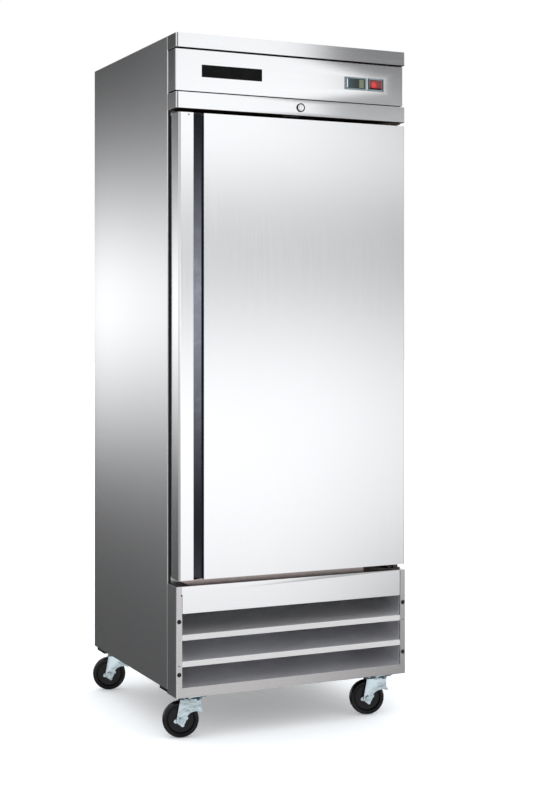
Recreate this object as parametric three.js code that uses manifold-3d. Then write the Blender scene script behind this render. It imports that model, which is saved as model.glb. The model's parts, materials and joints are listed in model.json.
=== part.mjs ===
// Reach-in refrigerator with one solid door, a bottom-mounted condensing unit and four swivel casters.
// Millimetres, +Z up. The origin is on the floor, under the middle of the cabinet. The door faces -Y.
import * as THREE from "three";
import { mergeVertices } from "three/addons/utils/BufferGeometryUtils.js";
import Module from "manifold-3d";

const wasm = await Module();
wasm.setup();

// ---- Driving dimensions ----
const width = 711; // over the side panels
const depth = 692; // door front to cabinet back
const bodyHeight = 1795; // grille's lower edge to cabinet top
const headerHeight = 203;
const grilleHeight = 300;
const sheet = 1; // stainless sheet
const bend = 2; // inside radius of a folded sheet
const fit = 0.3; // gap between pieces that meet
const wall = 54; // insulated wall, outside to storage space
const sideLift = 10; // side panels end this far above the grille's lower edge

// Door
const doorThickness = 56;
const doorGapTop = 11;
const doorGapBottom = 16;
const latchInset = 7.5; // door edge to cabinet side, on the handle side
const hingeInset = 1.5; // the same on the hinge side
const stripWidth = 42.5; // grip strip beside the finger recess
const recessWidth = 31;
const recessDepth = 27;
const gripSlant = 11; // how much shallower the recess is on its far side
const edgeRadius = 5; // rounded vertical edges of the door
const hingePinRadius = 5;
const hingeAxisInset = 20; // hinge axis to cabinet side
const hingeAxisDepth = 28; // hinge axis to door front
const hingePlate = 4;
const doorLap = 36; // how far the door covers the cabinet around its opening
const gasketWidth = 20;
const gasketDepth = 10; // door back to cabinet face
const gasketGap = 0.5; // gasket to cabinet face

// Header
const topRailHeight = 38.5;
const lowerRailHeight = 44;
const fasciaRecess = 12;
const fasciaInset = 2;
const fasciaGroove = 5;
const railRadius = 6;
const namePlate = { x: -186, width: 180, height: 33.5, thickness: 1.5 };
const controls = { x: 226.7, height: 36, thermostat: 69, gap: 3.5, rocker: 53, depth: 30, rim: 2.5 };
const lockOffset = 18; // lock to cabinet middle
const lockRadius = 9.5;
const lockRimRadius = 12.5;
const lockBarrelRadius = 6;
const lockLength = 24;
const camLength = 43;
const camWidth = 13;

// Lower front grille
const stileWidth = 17;
const grillePanel = 73.5;
const grilleSill = 26.5;
const louvreLip = 14;
const louvreDepth = 105;
const louvreSlope = 22; // degrees
const hingeSideSlot = 4.5;
const latchSideSlot = 0.8;

// Storage space and shelves
const cavityFront = 45; // insulation thickness above the door opening
const shelfHeights = [0.22, 0.47, 0.72]; // of the door opening
const shelfWires = 13;
const wireSize = 3.4;
const pilasterWidth = 22;
const pilasterDepth = 5;
const pilasterInset = 70;
const pilasterSlotPitch = 140;
const clipReach = 16;

// Machine compartment
const deck = 2;
const crossmember = 25;
const frontCrossmember = [14, 133]; // from the door front
const rearCrossmember = [20, 86]; // from the cabinet back

// Casters
const wheelRadius = 50;
const wheelWidth = 32;
const trail = 33; // swivel axis to axle
const axleRadius = 5;
const casterInsetSide = 66;
const casterInsetFront = 46;
const casterInsetBack = 50;
const swivelRest = 164; // degrees from +X to the trailing wheel
const forkSheet = 3;
const forkGap = 1.6; // wheel to fork leg
const crownDrop = 15; // mounting face to fork crown
const wheelClearance = 2; // wheel to fork crown

// ---- Derived places ----
const frontDepth = doorThickness + gasketDepth; // how far door, header and grille stand out
const casterHeight = 2 * wheelRadius + wheelClearance + forkSheet + crownDrop;
const left = -width / 2;
const right = width / 2;
const front = -depth / 2;
const back = depth / 2;
const face = front + frontDepth;
const base = casterHeight;
const top = base + bodyHeight;
const headerBottom = top - headerHeight;
const grilleTop = base + grilleHeight;
const doorLeft = left + latchInset;
const doorRight = right - hingeInset;
const doorBottom = grilleTop + doorGapBottom;
const doorTop = headerBottom - doorGapTop;
const doorBack = front + doorThickness;
const openBottom = doorBottom + doorLap;
const openTop = doorTop - doorLap;
const cavity = {
  x: [left + wall, right - wall],
  back: back - wall,
  bottom: openBottom,
  top: top - wall,
};
const foamBottom = cavity.bottom - wall;
const hingeX = right - hingeAxisInset;
const hingeY = front + hingeAxisDepth;
const lockZ = headerBottom + lowerRailHeight / 2;
const deckTop = base + crossmember + deck;
const frontFlange = 42; // side panel's flange on the cabinet face

// ---- Materials ----
const finish = (color, roughness, metalness) =>
  new THREE.MeshStandardMaterial({ color, roughness, metalness });
const steel = () => finish(0xc9cbce, 0.32, 1);
const galvanised = () => finish(0xa9adb0, 0.5, 0.9);
const zinc = () => finish(0xbfd0d6, 0.3, 1);
const blackSteel = () => finish(0x17181a, 0.5, 0.4);
const blackPlastic = () => finish(0x101113, 0.45, 0);
const whitePlastic = () => finish(0xe4e6e6, 0.4, 0);
const aluminium = () => finish(0xc4c8cc, 0.4, 0.9);

// ---- Solids ----
function toSolid(geometry) {
  const bare = geometry.index ? geometry.toNonIndexed() : geometry.clone();
  bare.deleteAttribute("normal");
  bare.deleteAttribute("uv");
  const merged = mergeVertices(bare, 1e-4);
  const corners = merged.index.array;
  const kept = [];
  for (let i = 0; i < corners.length; i += 3) {
    const [a, b, c] = corners.slice(i, i + 3);
    if (a !== b && b !== c && c !== a) kept.push(a, b, c);
  }
  return new wasm.Manifold(
    new wasm.Mesh({
      numProp: 3,
      vertProperties: merged.attributes.position.array,
      triVerts: new Uint32Array(kept),
    }),
  );
}

const join = (...solids) => solids.reduce((whole, piece) => whole.add(piece));
const cut = (solid, ...tools) => tools.reduce((rest, tool) => rest.subtract(tool), solid);
const turn = (solid, x, y, z) => solid.rotate([x, y, z]);
const move = (solid, x, y, z) => solid.translate([x, y, z]);

function box([x0, x1], [y0, y1], [z0, z1]) {
  const geometry = new THREE.BoxGeometry(x1 - x0, y1 - y0, z1 - z0);
  return toSolid(geometry.translate((x0 + x1) / 2, (y0 + y1) / 2, (z0 + z1) / 2));
}

// An outline pushed along an axis. Its corners are (y, z) for x, (x, z) for y and (x, y) for z.
function prism(axis, outline, [from, to]) {
  const shape = new THREE.Shape(outline.map(([u, v]) => new THREE.Vector2(u, v)));
  const geometry = new THREE.ExtrudeGeometry(shape, { depth: to - from, bevelEnabled: false });
  const X = new THREE.Vector3(1, 0, 0);
  const Y = new THREE.Vector3(0, 1, 0);
  const Z = new THREE.Vector3(0, 0, 1);
  const turned = new THREE.Matrix4();
  if (axis === "x") turned.makeBasis(Y, Z, X);
  if (axis === "y") turned.makeBasis(X, Z, Y.negate());
  geometry.translate(0, 0, axis === "y" ? -to : from);
  return toSolid(geometry.applyMatrix4(turned));
}

function ring(centre, radius, sides) {
  const point = (i) => (2 * Math.PI * (i + 0.5)) / sides;
  return Array.from({ length: sides }, (_, i) => [
    centre[0] + radius * Math.cos(point(i)),
    centre[1] + radius * Math.sin(point(i)),
  ]);
}

const rod = (axis, centre, radius, span, sides = 20) => prism(axis, ring(centre, radius, sides), span);
// A hole whose flats clear a round of the same number of sides at any angle.
const clearance = (radius, sides = 20, gap = 0.05) => radius / Math.cos(Math.PI / sides) + gap;

// A profile of (radius, height) corners turned about Z.
function lathe(profile, sides) {
  const area = profile.reduce((sum, [r, z], i) => {
    const [nextR, nextZ] = profile[(i + 1) % profile.length];
    return sum + r * nextZ - nextR * z;
  }, 0);
  const ordered = area > 0 ? profile : [...profile].reverse();
  const closed = ordered.some(([r]) => r < 1e-6) ? ordered : [...ordered, ordered[0]];
  const points = closed.map(([r, z]) => new THREE.Vector2(r, z));
  const geometry = new THREE.LatheGeometry(points, sides);
  return toSolid(geometry.applyMatrix4(new THREE.Matrix4().makeRotationX(Math.PI / 2)));
}

// Replaces each corner that has a radius with an arc.
function rounded(points, radii, steps = 4, open = false) {
  const result = [];
  points.forEach((point, i) => {
    const radius = radii[i] ?? 0;
    const isEnd = open && (i === 0 || i === points.length - 1);
    if (!radius || isEnd) {
      result.push(point);
      return;
    }
    const corner = new THREE.Vector2(...point);
    const before = new THREE.Vector2(...points.at(i - 1)).sub(corner).normalize();
    const after = new THREE.Vector2(...points[(i + 1) % points.length]).sub(corner).normalize();
    const half = Math.acos(THREE.MathUtils.clamp(before.dot(after), -1, 1)) / 2;
    const middle = before.clone().add(after).normalize();
    const centre = corner.clone().addScaledVector(middle, radius / Math.sin(half));
    const start = corner.clone().addScaledVector(before, radius / Math.tan(half)).sub(centre);
    const sweep = (Math.PI - 2 * half) * -Math.sign(before.cross(after));
    for (let step = 0; step <= steps; step++) {
      const at = start.clone().rotateAround(new THREE.Vector2(), (sweep * step) / steps);
      result.push([centre.x + at.x, centre.y + at.y]);
    }
  });
  return result;
}

// The outline of a sheet folded along a path. Its thickness is on the left of the path.
function foldedSheet(path, thickness, inside) {
  const points = path.map(([x, y]) => new THREE.Vector2(x, y));
  const along = points.slice(1).map((point, i) => point.clone().sub(points[i]).normalize());
  const normals = along.map((direction) => new THREE.Vector2(-direction.y, direction.x));
  const offset = points.map((point, i) => {
    const first = normals[Math.max(i - 1, 0)];
    const second = normals[Math.min(i, normals.length - 1)];
    const mitre = first.clone().add(second).normalize();
    const moved = point.clone().addScaledVector(mitre, thickness / mitre.dot(first));
    return [moved.x, moved.y];
  });
  const turns = points.map((_, i) => (along[i - 1] && along[i] ? along[i - 1].cross(along[i]) : 0));
  const nearRadii = turns.map((side) => (side > 0 ? inside + thickness : inside));
  const farRadii = turns.map((side) => (side > 0 ? inside : inside + thickness));
  const near = rounded(path, nearRadii, 3, true);
  const far = rounded(offset, farRadii, 3, true);
  return [...near, ...far.reverse()];
}

const part = new THREE.Group();

function add(name, solid, material, parent = part) {
  const { vertProperties, triVerts } = solid.getMesh();
  const indexed = new THREE.BufferGeometry();
  indexed.setAttribute("position", new THREE.BufferAttribute(vertProperties, 3));
  indexed.setIndex(new THREE.BufferAttribute(triVerts, 1));
  const geometry = indexed.toNonIndexed();
  geometry.computeVertexNormals();
  const mesh = new THREE.Mesh(geometry, material);
  mesh.name = name;
  parent.add(mesh);
}

// ---- Cabinet shell ----
function sidePanel(side) {
  const rearFlange = 12;
  const path = [
    [left + rearFlange, back],
    [left, back],
    [left, face],
    [left + frontFlange, face],
  ];
  const outline = foldedSheet(path, sheet, bend);
  const panel = prism("z", outline, [base + sideLift, top]);
  const lowerFlange = 12;
  const y = [face - 1, face + 6];
  const compartmentFront = box([left + lowerFlange, left + frontFlange + 1], y, [base, grilleTop - 8]);
  const crossmemberNotch = box([left + sheet + bend, left + frontFlange], y, [base, deckTop + 1]);
  const trimmed = cut(panel, compartmentFront, crossmemberNotch);
  return side === "left" ? trimmed : trimmed.mirror([1, 0, 0]);
}

function topPanel() {
  const inset = sheet + fit;
  const corners = [
    [left + inset, face + inset],
    [right - inset, face + inset],
    [right - inset, back - inset],
    [left + inset, back - inset],
  ];
  return prism("z", rounded(corners, [bend, bend, bend, bend], 2), [top - sheet, top]);
}

function rearPanel() {
  const inset = 12 + bend + fit;
  const z = [foamBottom + fit, top - sheet - fit];
  return box([left + inset, right - inset], [back - sheet, back], z);
}

// The storage space, grown on every side by a margin. Above the door opening it stops short of
// the cabinet face.
function storageSpace(grow, mouth) {
  const x = [cavity.x[0] - grow, cavity.x[1] + grow];
  const lower = box(x, [mouth, cavity.back + grow], [cavity.bottom - grow, openTop + grow]);
  const upper = box(x, [face + cavityFront - grow, cavity.back + grow], [openTop, cavity.top + grow]);
  return join(lower, upper);
}

function foamInsulation() {
  const inset = sheet + bend + fit;
  const block = box(
    [left + inset, right - inset],
    [face + sheet + fit, back - sheet - bend - fit],
    [foamBottom, top - sheet - fit],
  );
  return cut(block, storageSpace(sheet + fit, face - 1));
}

function innerLiner() {
  return cut(storageSpace(sheet, face + sheet + fit), storageSpace(0, face - 1));
}

function faceFrame() {
  const x = [left + frontFlange + fit, right - frontFlange - fit];
  const plate = box(x, [face, face + sheet], [grilleTop - 4, top - sheet - fit]);
  return cut(plate, box(cavity.x, [face - 1, face + 2], [openBottom, openTop]));
}

// ---- Header ----
// A block whose two front vertical edges are rounded.
function roundFronted([x0, x1], [y0, y1], radius, z) {
  const corners = [
    [x0, y1],
    [x0, y0],
    [x1, y0],
    [x1, y1],
  ];
  return prism("z", rounded(corners, [0, radius, radius, 0]), z);
}

const headerBlock = (inset, set, radius, z) =>
  roundFronted([left + inset, right - inset], [front + set, face - fit], radius, z);

// The inside of a header block, open at the back.
const headerHollow = (inset, set, radius, z) =>
  roundFronted([left + inset, right - inset], [front + set, face + 1], radius, z);

function headerTopRail() {
  const z = [top - topRailHeight, top];
  const hollow = headerHollow(sheet, sheet, railRadius - sheet, [z[0] + sheet, top - sheet]);
  const ledge = fasciaRecess + sheet;
  const mouth = headerHollow(ledge, ledge, 1, [z[0] - 1, z[0] + 3]);
  return cut(headerBlock(0, 0, railRadius, z), hollow, mouth);
}

function headerFascia() {
  const z = [headerBottom + lowerRailHeight + fasciaGroove, top - topRailHeight - fasciaGroove / 2];
  const shell = cut(
    headerBlock(fasciaInset, fasciaRecess, bend, z),
    headerHollow(fasciaInset + sheet, fasciaRecess + sheet, bend - sheet, [z[0] - 1, z[1] + 1]),
  );
  const middle = fasciaMiddle();
  const edge = controls.rim + fit;
  const cutOut = (x, w) =>
    box(
      [x + edge, x + w - edge],
      [front, front + fasciaRecess + 5],
      [middle - controls.height / 2 + edge, middle + controls.height / 2 - edge],
    );
  const [first, second] = controlPlaces();
  return cut(shell, cutOut(first, controls.thermostat), cutOut(second, controls.rocker));
}

const fasciaMiddle = () =>
  (headerBottom + lowerRailHeight + top - topRailHeight) / 2 - 0.5;

// Left edges of the thermostat and the rocker switch.
function controlPlaces() {
  const whole = controls.thermostat + controls.gap + controls.rocker;
  const first = controls.x - whole / 2;
  return [first, first + controls.thermostat + controls.gap];
}

function headerLowerRail() {
  const z = [headerBottom, headerBottom + lowerRailHeight];
  const hollow = headerHollow(sheet, sheet, railRadius - sheet, [z[0] + sheet, z[1] - sheet]);
  const ledge = fasciaRecess + sheet + 4;
  const mouth = headerHollow(ledge, ledge, 1, [z[1] - 3, z[1] + 1]);
  const lockHole = rod("y", [lockOffset, lockZ], lockRadius + fit, [front - 1, front + 8]);
  const camY = camPlace();
  const camSlot = box(
    [lockOffset - camSweep(headerBottom + sheet) - 3, lockOffset + camWidth],
    [camY[0] - 2, camY[1] + 2],
    [headerBottom - 1, headerBottom + 3],
  );
  return cut(headerBlock(0, 0, railRadius, z), hollow, mouth, lockHole, camSlot);
}

function namePlateSolid() {
  const { x, width: w, height, thickness } = namePlate;
  const middle = fasciaMiddle() + 2;
  const y = front + fasciaRecess - fit;
  return box([x - w / 2, x + w / 2], [y - thickness, y], [middle - height / 2, middle + height / 2]);
}

// A rim in front of the fascia and a body through its cut-out.
function controlBody(x, w) {
  const middle = fasciaMiddle();
  const rimFace = front + fasciaRecess - fit;
  const z = [middle - controls.height / 2, middle + controls.height / 2];
  const rim = box([x, x + w], [rimFace - controls.rim, rimFace], z);
  const edge = controls.rim + 2 * fit;
  const bodyY = [rimFace - 1, rimFace + controls.depth];
  const body = box([x + edge, x + w - edge], bodyY, [z[0] + edge, z[1] - edge]);
  return join(rim, body);
}

function thermostat() {
  const [x] = controlPlaces();
  const middle = fasciaMiddle();
  const rimFace = front + fasciaRecess - fit - controls.rim;
  const window = box(
    [x + 4, x + controls.thermostat - 4],
    [rimFace - 1, rimFace + 1.2],
    [middle - controls.height / 2 + 4, middle + controls.height / 2 - 4],
  );
  return cut(controlBody(x, controls.thermostat), window);
}

function rockerPlace() {
  const [, x] = controlPlaces();
  const margin = 7;
  return {
    x: [x + margin, x + controls.rocker - margin],
    z: fasciaMiddle(),
    half: controls.height / 2 - 5,
    axisY: front + fasciaRecess + 7,
  };
}

function switchHousing() {
  const [, x] = controlPlaces();
  const { x: span, z, half, axisY } = rockerPlace();
  const hollow = box(
    [span[0] - fit, span[1] + fit],
    [front - 5, axisY + 10],
    [z - half - 0.6, z + half + 0.6],
  );
  return cut(controlBody(x, controls.rocker), hollow);
}

// The rocker's two faces meet in a shallow valley at its axis. At rest the upper half is pressed in.
function rockerSwitch() {
  const { x, z, half, axisY } = rockerPlace();
  const lean = THREE.MathUtils.degToRad(8);
  const reach = 9;
  const outline = [
    [-reach, 0],
    [-reach - half * Math.tan(lean), half - 1.4],
    [2, half - 3],
    [6, 0],
    [2, -half + 3],
    [-reach - half * Math.tan(lean), -half + 1.4],
  ];
  const rocker = prism("x", outline, [x[0] + 0.2, x[1] - 0.2]);
  return move(turn(rocker, -8, 0, 0), 0, axisY, z);
}

const camPlace = () => [front + lockLength + 2, front + lockLength + 5];
// How far to the side the turning cam reaches where it crosses a height.
const camSweep = (z) => Math.sqrt(camLength ** 2 + (camWidth / 2) ** 2 - (lockZ - z) ** 2);

function lockHousing() {
  const bodySpan = [front - 1, front + lockLength];
  const rim = rod("y", [lockOffset, lockZ], lockRimRadius, [front - 2.4, front - fit]);
  const body = rod("y", [lockOffset, lockZ], lockRadius, bodySpan);
  const boreSpan = [front - 5, front + lockLength + 5];
  const bore = rod("y", [lockOffset, lockZ], clearance(lockBarrelRadius), boreSpan);
  return cut(join(rim, body), bore);
}

// The barrel and its cam. At rest the cam lies level behind the rail. A quarter turn drops it into
// the door.
function lockCylinder() {
  const cam = camPlace();
  const barrel = rod("y", [lockOffset, lockZ], lockBarrelRadius, [front - 3, cam[1]]);
  const keyway = box(
    [lockOffset - 0.8, lockOffset + 0.8],
    [front - 4, front + 3],
    [lockZ - 3.6, lockZ + 3.6],
  );
  const armZ = [lockZ - camWidth / 2, lockZ + camWidth / 2];
  const arm = box([lockOffset - camLength, lockOffset + 4], cam, armZ);
  return join(cut(barrel, keyway), arm);
}

// ---- Door ----
const doorX = [doorLeft, doorRight];
const doorZ = [doorBottom, doorTop];
const recessX = [doorLeft + stripWidth, doorLeft + stripWidth + recessWidth];

// The door's outer shape, drawn in by a margin.
function doorBlock(inset, backY = doorBack) {
  const x = [doorX[0] + inset, doorX[1] - inset];
  const z = [doorZ[0] + inset, doorZ[1] - inset];
  return roundFronted(x, [front + inset, backY], edgeRadius - inset, z);
}

// Holes for the hinge pins and the lock's cam, from both ends of the door.
function doorFittings(gap) {
  const reach = 20;
  const holes = doorZ.map((z) =>
    rod("z", [hingeX, hingeY], clearance(hingePinRadius) + gap, [z - reach, z + reach]),
  );
  const cam = camPlace();
  const pocket = box(
    [lockOffset - camSweep(doorTop) - 3 - gap, lockOffset + camWidth + gap],
    [cam[0] - 3 - gap, cam[1] + 3 + gap],
    [doorTop - 14, doorTop + 1],
  );
  return [...holes, pocket];
}

const recessBlock = (grow) =>
  box([recessX[0] - grow, recessX[1] + grow], [front - 1, front + recessDepth + grow], [
    doorBottom - 1,
    doorTop + 1,
  ]);

function doorSkin() {
  const hollow = cut(doorBlock(sheet, doorBack + 1), recessBlock(sheet));
  const shell = cut(doorBlock(0), hollow);
  const throat = box(
    [recessX[0] - 1, recessX[1] + 1],
    [front + recessDepth, doorBack + 1],
    [doorZ[0] + sheet, doorZ[1] - sheet],
  );
  return cut(shell, recessBlock(0), throat, ...doorFittings(0));
}

// The grip channel. Its back wall slants, so that it is deepest behind the grip strip.
function doorHandleChannel() {
  const lining = 1.2;
  const lip = 1.5;
  const x = [recessX[0] + fit, recessX[1] - fit];
  const y = [front + lip, front + recessDepth - fit];
  const lean = gripSlant / (x[1] - x[0]);
  const section = (inset, mouth, floor) => [
    [x[0] + inset, mouth],
    [x[1] - inset, mouth],
    [x[1] - inset, floor - lean * (x[1] - x[0] - inset)],
    [x[0] + inset, floor - lean * inset],
  ];
  const outer = prism("z", section(0, y[0], y[1]), [doorZ[0] + 0.5, doorZ[1] - 0.5]);
  const floor = y[1] - lining * Math.hypot(1, lean);
  return cut(outer, prism("z", section(lining, front, floor), [doorZ[0] - 1, doorZ[1] + 1]));
}

function doorFoam() {
  const inset = sheet + fit;
  const linerRoom = 2;
  const block = doorBlock(inset, doorBack - linerRoom);
  return cut(block, recessBlock(sheet + fit), ...doorFittings(2));
}

// The door's inner panel: a flat border and a shallow raised tray.
function doorLiner() {
  const inset = sheet + fit;
  const skin = 1.2;
  const border = 60;
  const rise = 7;
  const plateY = [doorBack - 1.7, doorBack - 1.7 + skin];
  const plate = box([doorX[0] + inset, doorX[1] - inset], plateY, [doorZ[0] + inset, doorZ[1] - inset]);
  const trayX = [doorX[0] + border, doorX[1] - border - 10];
  const trayZ = [doorZ[0] + border, doorZ[1] - border];
  const tray = box(trayX, [plateY[0], plateY[1] + rise], trayZ);
  const hollow = box(
    [trayX[0] + skin, trayX[1] - skin],
    [plateY[0] - 1, plateY[1] + rise - skin],
    [trayZ[0] + skin, trayZ[1] - skin],
  );
  return cut(join(plate, tray), hollow);
}

// The magnetic seal. On the hinge side it sits further in, so that it clears the cabinet face as
// the door turns.
function doorGasket() {
  const edge = { latch: 1.5, hinge: 14.5, ends: 5 };
  const x = [doorX[0] + edge.latch, doorX[1] - edge.hinge];
  const z = [doorZ[0] + edge.ends, doorZ[1] - edge.ends];
  const y = [doorBack + fit, face - gasketGap];
  const ringAt = (inset, yRange) =>
    cut(
      box([x[0] + inset, x[1] - inset], yRange, [z[0] + inset, z[1] - inset]),
      box(
        [x[0] + gasketWidth - inset, x[1] - gasketWidth + inset],
        [yRange[0] - 1, yRange[1] + 1],
        [z[0] + gasketWidth - inset, z[1] - gasketWidth + inset],
      ),
    );
  const neck = 2.5;
  const waist = [y[0] + 2, y[0] + 5];
  return join(
    ringAt(0, [y[0], waist[0]]),
    ringAt(neck, [waist[0] - 0.5, waist[1] + 0.5]),
    ringAt(0, [waist[1], y[1]]),
  );
}

// An angle plate with its pin. The upper one hangs from the header, and the lower one stands on
// the grille.
function hingeBracket(end) {
  const low = end === "top" ? headerBottom - fit - hingePlate : grilleTop + fit;
  const plateZ = [low, low + hingePlate];
  const half = 15;
  const outline = rounded(
    [
      [hingeX - 80, face - fit],
      [hingeX - 34, hingeY - 8],
      [hingeX - 10, hingeY - half],
      [hingeX + half, hingeY - half],
      [hingeX + half, face - fit],
    ],
    [0, 30, 4, 12, 0],
  );
  const plate = prism("z", outline, plateZ);
  const legZ = end === "top" ? [doorTop + 1, plateZ[1]] : [plateZ[0], doorBottom - 1];
  const leg = box([hingeX - 80, hingeX + half], [face - fit - 3, face - fit], legZ);
  const pinZ = end === "top" ? [doorTop - 14, plateZ[0] + 1] : [plateZ[1] - 1, doorBottom + 14];
  const pin = rod("z", [hingeX, hingeY], hingePinRadius, pinZ);
  const collarZ = end === "top" ? [doorTop + 1.2, plateZ[0] + 1] : [plateZ[1] - 1, doorBottom - 1.2];
  return join(plate, leg, pin, rod("z", [hingeX, hingeY], hingePinRadius + 4, collarZ));
}

// ---- Lower front grille ----
function grilleFrame() {
  const radius = 2.5;
  const block = roundFronted([left, right], [front, face - fit], radius, [base, grilleTop]);
  const hollow = roundFronted(
    [left + sheet, right - sheet],
    [front + sheet, face + 1],
    radius - sheet,
    [base - 1, grilleTop - sheet],
  );
  const windowTop = grilleTop - grillePanel;
  const window = box(
    [left + stileWidth, right - stileWidth],
    [front - 1, front + 5],
    [base + grilleSill, windowTop],
  );
  const slot = (x, w, z) => box([x, x + w], [front - 1, front + 3], z);
  const relief = 21;
  return cut(
    block,
    hollow,
    window,
    slot(right - stileWidth - 1, hingeSideSlot, [windowTop, grilleTop - sheet - 0.5]),
    slot(left + stileWidth, latchSideSlot, [windowTop - 1, grilleTop - relief]),
    slot(right - stileWidth - 1, 2, [base + 3, base + grilleSill]),
  );
}

// Three blades that rise to the back, joined by end plates. Two of them start in a folded lip at
// the front.
function grilleLouvres() {
  const run = louvreDepth - 4;
  const rise = run * Math.tan(THREE.MathUtils.degToRad(louvreSlope));
  const clear = (grilleHeight - grilleSill - grillePanel - 2 * louvreLip) / 3;
  const x = [left + stileWidth + fit, right - stileWidth - fit];
  const y = front + 0.4;
  const blade = (lipTop) => {
    const start = [y + 1, lipTop];
    const path = [
      [start[0], lipTop - louvreLip],
      start,
      [start[0] + run, lipTop + rise],
    ];
    return prism("x", foldedSheet(path, sheet, 0.8), x);
  };
  const sill = base + grilleSill - 1;
  const lips = [sill + clear + louvreLip, sill + 2 * clear + 2 * louvreLip];
  const lowest = prism(
    "x",
    foldedSheet(
      [
        [front + sheet + 1.5, sill - 1],
        [front + sheet + 1.5 + run, sill - 1 + rise],
      ],
      sheet,
      0,
    ),
    x,
  );
  const plate = (xRange) =>
    prism(
      "x",
      [
        [front + 4, base + grilleSill - 5],
        [front + louvreDepth - 2, base + grilleSill - 5 + rise],
        [front + louvreDepth - 2, grilleTop - 26],
        [face - 6, grilleTop - 12],
        [front + 4, grilleTop - grillePanel - 6],
      ],
      xRange,
    );
  return join(
    lowest,
    ...lips.map(blade),
    plate([x[0], x[0] + 1.5]),
    plate([x[1] - 1.5, x[1]]),
  );
}

// ---- Storage space ----
const shelfLevels = shelfHeights.map((share) => openBottom + share * (openTop - openBottom));

function shelfPilaster(side, yMiddle) {
  const sign = side === "left" ? 1 : -1;
  const wallX = side === "left" ? cavity.x[0] : cavity.x[1];
  const range = (a, b) => [wallX + sign * a, wallX + sign * b].sort((p, q) => p - q);
  const y = [yMiddle - pilasterWidth / 2, yMiddle + pilasterWidth / 2];
  const z = [openBottom + 12, openTop - 12];
  const strip = cut(
    box(range(fit, pilasterDepth), y, z),
    box(range(0, pilasterDepth - 1.5), [y[0] + 1.5, y[1] - 1.5], [z[0] - 1, z[1] + 1]),
  );
  const slots = [];
  for (let at = z[0] + 20; at < z[1] - 20; at += pilasterSlotPitch) {
    const slotY = [yMiddle - 5, yMiddle + 5];
    slots.push(box(range(pilasterDepth - 3, pilasterDepth + 1), slotY, [at, at + 8]));
  }
  const clips = shelfLevels.map((level) =>
    box(range(pilasterDepth - 1, clipReach), [yMiddle - 6, yMiddle + 6], [level - 9, level - 3 - fit]),
  );
  return join(cut(strip, ...slots), ...clips);
}

const squareRod = (axis, [u, v], size, span) =>
  prism(axis, ring([u, v], size / Math.SQRT2, 4), span);

function wireShelf(level) {
  const margin = pilasterDepth + 4;
  const x = [cavity.x[0] + margin, cavity.x[1] - margin];
  const y = [face + 30, cavity.back - 25];
  const rail = 6;
  const frame = [
    ...x.map((at, i) => squareRod("y", [at + (i ? -rail / 2 : rail / 2), level], rail, y)),
    ...y.map((at, i) => squareRod("x", [at + (i ? -rail / 2 : rail / 2), level], rail, x)),
    squareRod("x", [(y[0] + y[1]) / 2, level], rail, x),
  ];
  const pitch = (x[1] - x[0] - rail) / (shelfWires + 1);
  const wires = Array.from({ length: shelfWires }, (_, i) =>
    squareRod("y", [x[0] + rail / 2 + pitch * (i + 1), level + rail / 2], wireSize, [y[0] + 1, y[1] - 1]),
  );
  return join(...frame, ...wires);
}

// ---- Evaporator ----
const evaporator = {
  x: [-220, 220],
  y: [cavity.back - 200, cavity.back - 12],
  z: [cavity.top - 152, cavity.top - 4],
  fanX: 0,
  fanRadius: 55,
};
const evaporatorFanZ = (evaporator.z[0] + evaporator.z[1]) / 2;

function evaporatorCover() {
  const { x, y, z, fanX, fanRadius } = evaporator;
  const shell = cut(
    box(x, y, z),
    box([x[0] + sheet, x[1] - sheet], [y[0] + sheet, y[1] + 1], [z[0] + sheet, z[1] + 1]),
  );
  const mouth = rod("y", [fanX, evaporatorFanZ], fanRadius + 6, [y[0] - 1, y[0] + 3], 24);
  const guard = [0, 60, 120].map((angle) =>
    move(
      turn(box([-fanRadius - 8, fanRadius + 8], [0, 1], [-1.5, 1.5]), 0, angle, 0),
      fanX,
      y[0],
      evaporatorFanZ,
    ),
  );
  const rings = [22, 42].map((radius) =>
    cut(
      rod("y", [fanX, evaporatorFanZ], radius + 1.5, [y[0], y[0] + 1], 16),
      rod("y", [fanX, evaporatorFanZ], radius - 1.5, [y[0] - 1, y[0] + 2], 16),
    ),
  );
  const drain = box([-60, 60], [y[1] - 30, y[1] - 10], [z[0] - 1, z[0] + 2]);
  return cut(join(cut(shell, mouth), ...guard, ...rings), drain);
}

// A finned block: one comb outline pushed through its height.
function finnedBlock([x0, x1], [y0, y1], z, fins) {
  const spine = 0.25 * (y1 - y0);
  const pitch = (x1 - x0) / fins;
  const blade = pitch * 0.4;
  const outline = [[x0, y1]];
  for (let i = 0; i < fins; i++) {
    const at = x0 + i * pitch;
    outline.push([at, y0], [at + blade, y0]);
    if (i < fins - 1) outline.push([at + blade, y1 - spine], [at + pitch, y1 - spine]);
  }
  outline.push([x0 + (fins - 1) * pitch + blade, y1]);
  return prism("z", outline, z);
}

function evaporatorCoil() {
  const { x, y, z } = evaporator;
  return finnedBlock([x[0] + 20, x[1] - 20], [y[0] + 92, y[1] - 15], [z[0] + 8, z[1] - 8], 16);
}

// A hub with pitched blades, turning about Y.
function fan([x, y, z], radius, blades) {
  const hub = rod("y", [0, 0], radius * 0.27, [-7, 7], 16);
  const outline = rounded(
    [
      [radius * 0.2, -radius * 0.16],
      [radius * 0.98, -radius * 0.34],
      [radius * 0.98, radius * 0.34],
      [radius * 0.2, radius * 0.16],
    ],
    [0, 8, 14, 0],
    3,
  );
  const blade = turn(prism("y", outline, [-0.8, 0.8]), 24, 0, 0);
  const ringed = Array.from({ length: blades }, (_, i) => turn(blade, 0, (i * 360) / blades, 0));
  const shaftHole = rod("y", [0, 0], clearance(3, 12), [-20, 20], 12);
  return move(cut(join(hub, ...ringed), shaftHole), x, y, z);
}

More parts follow.
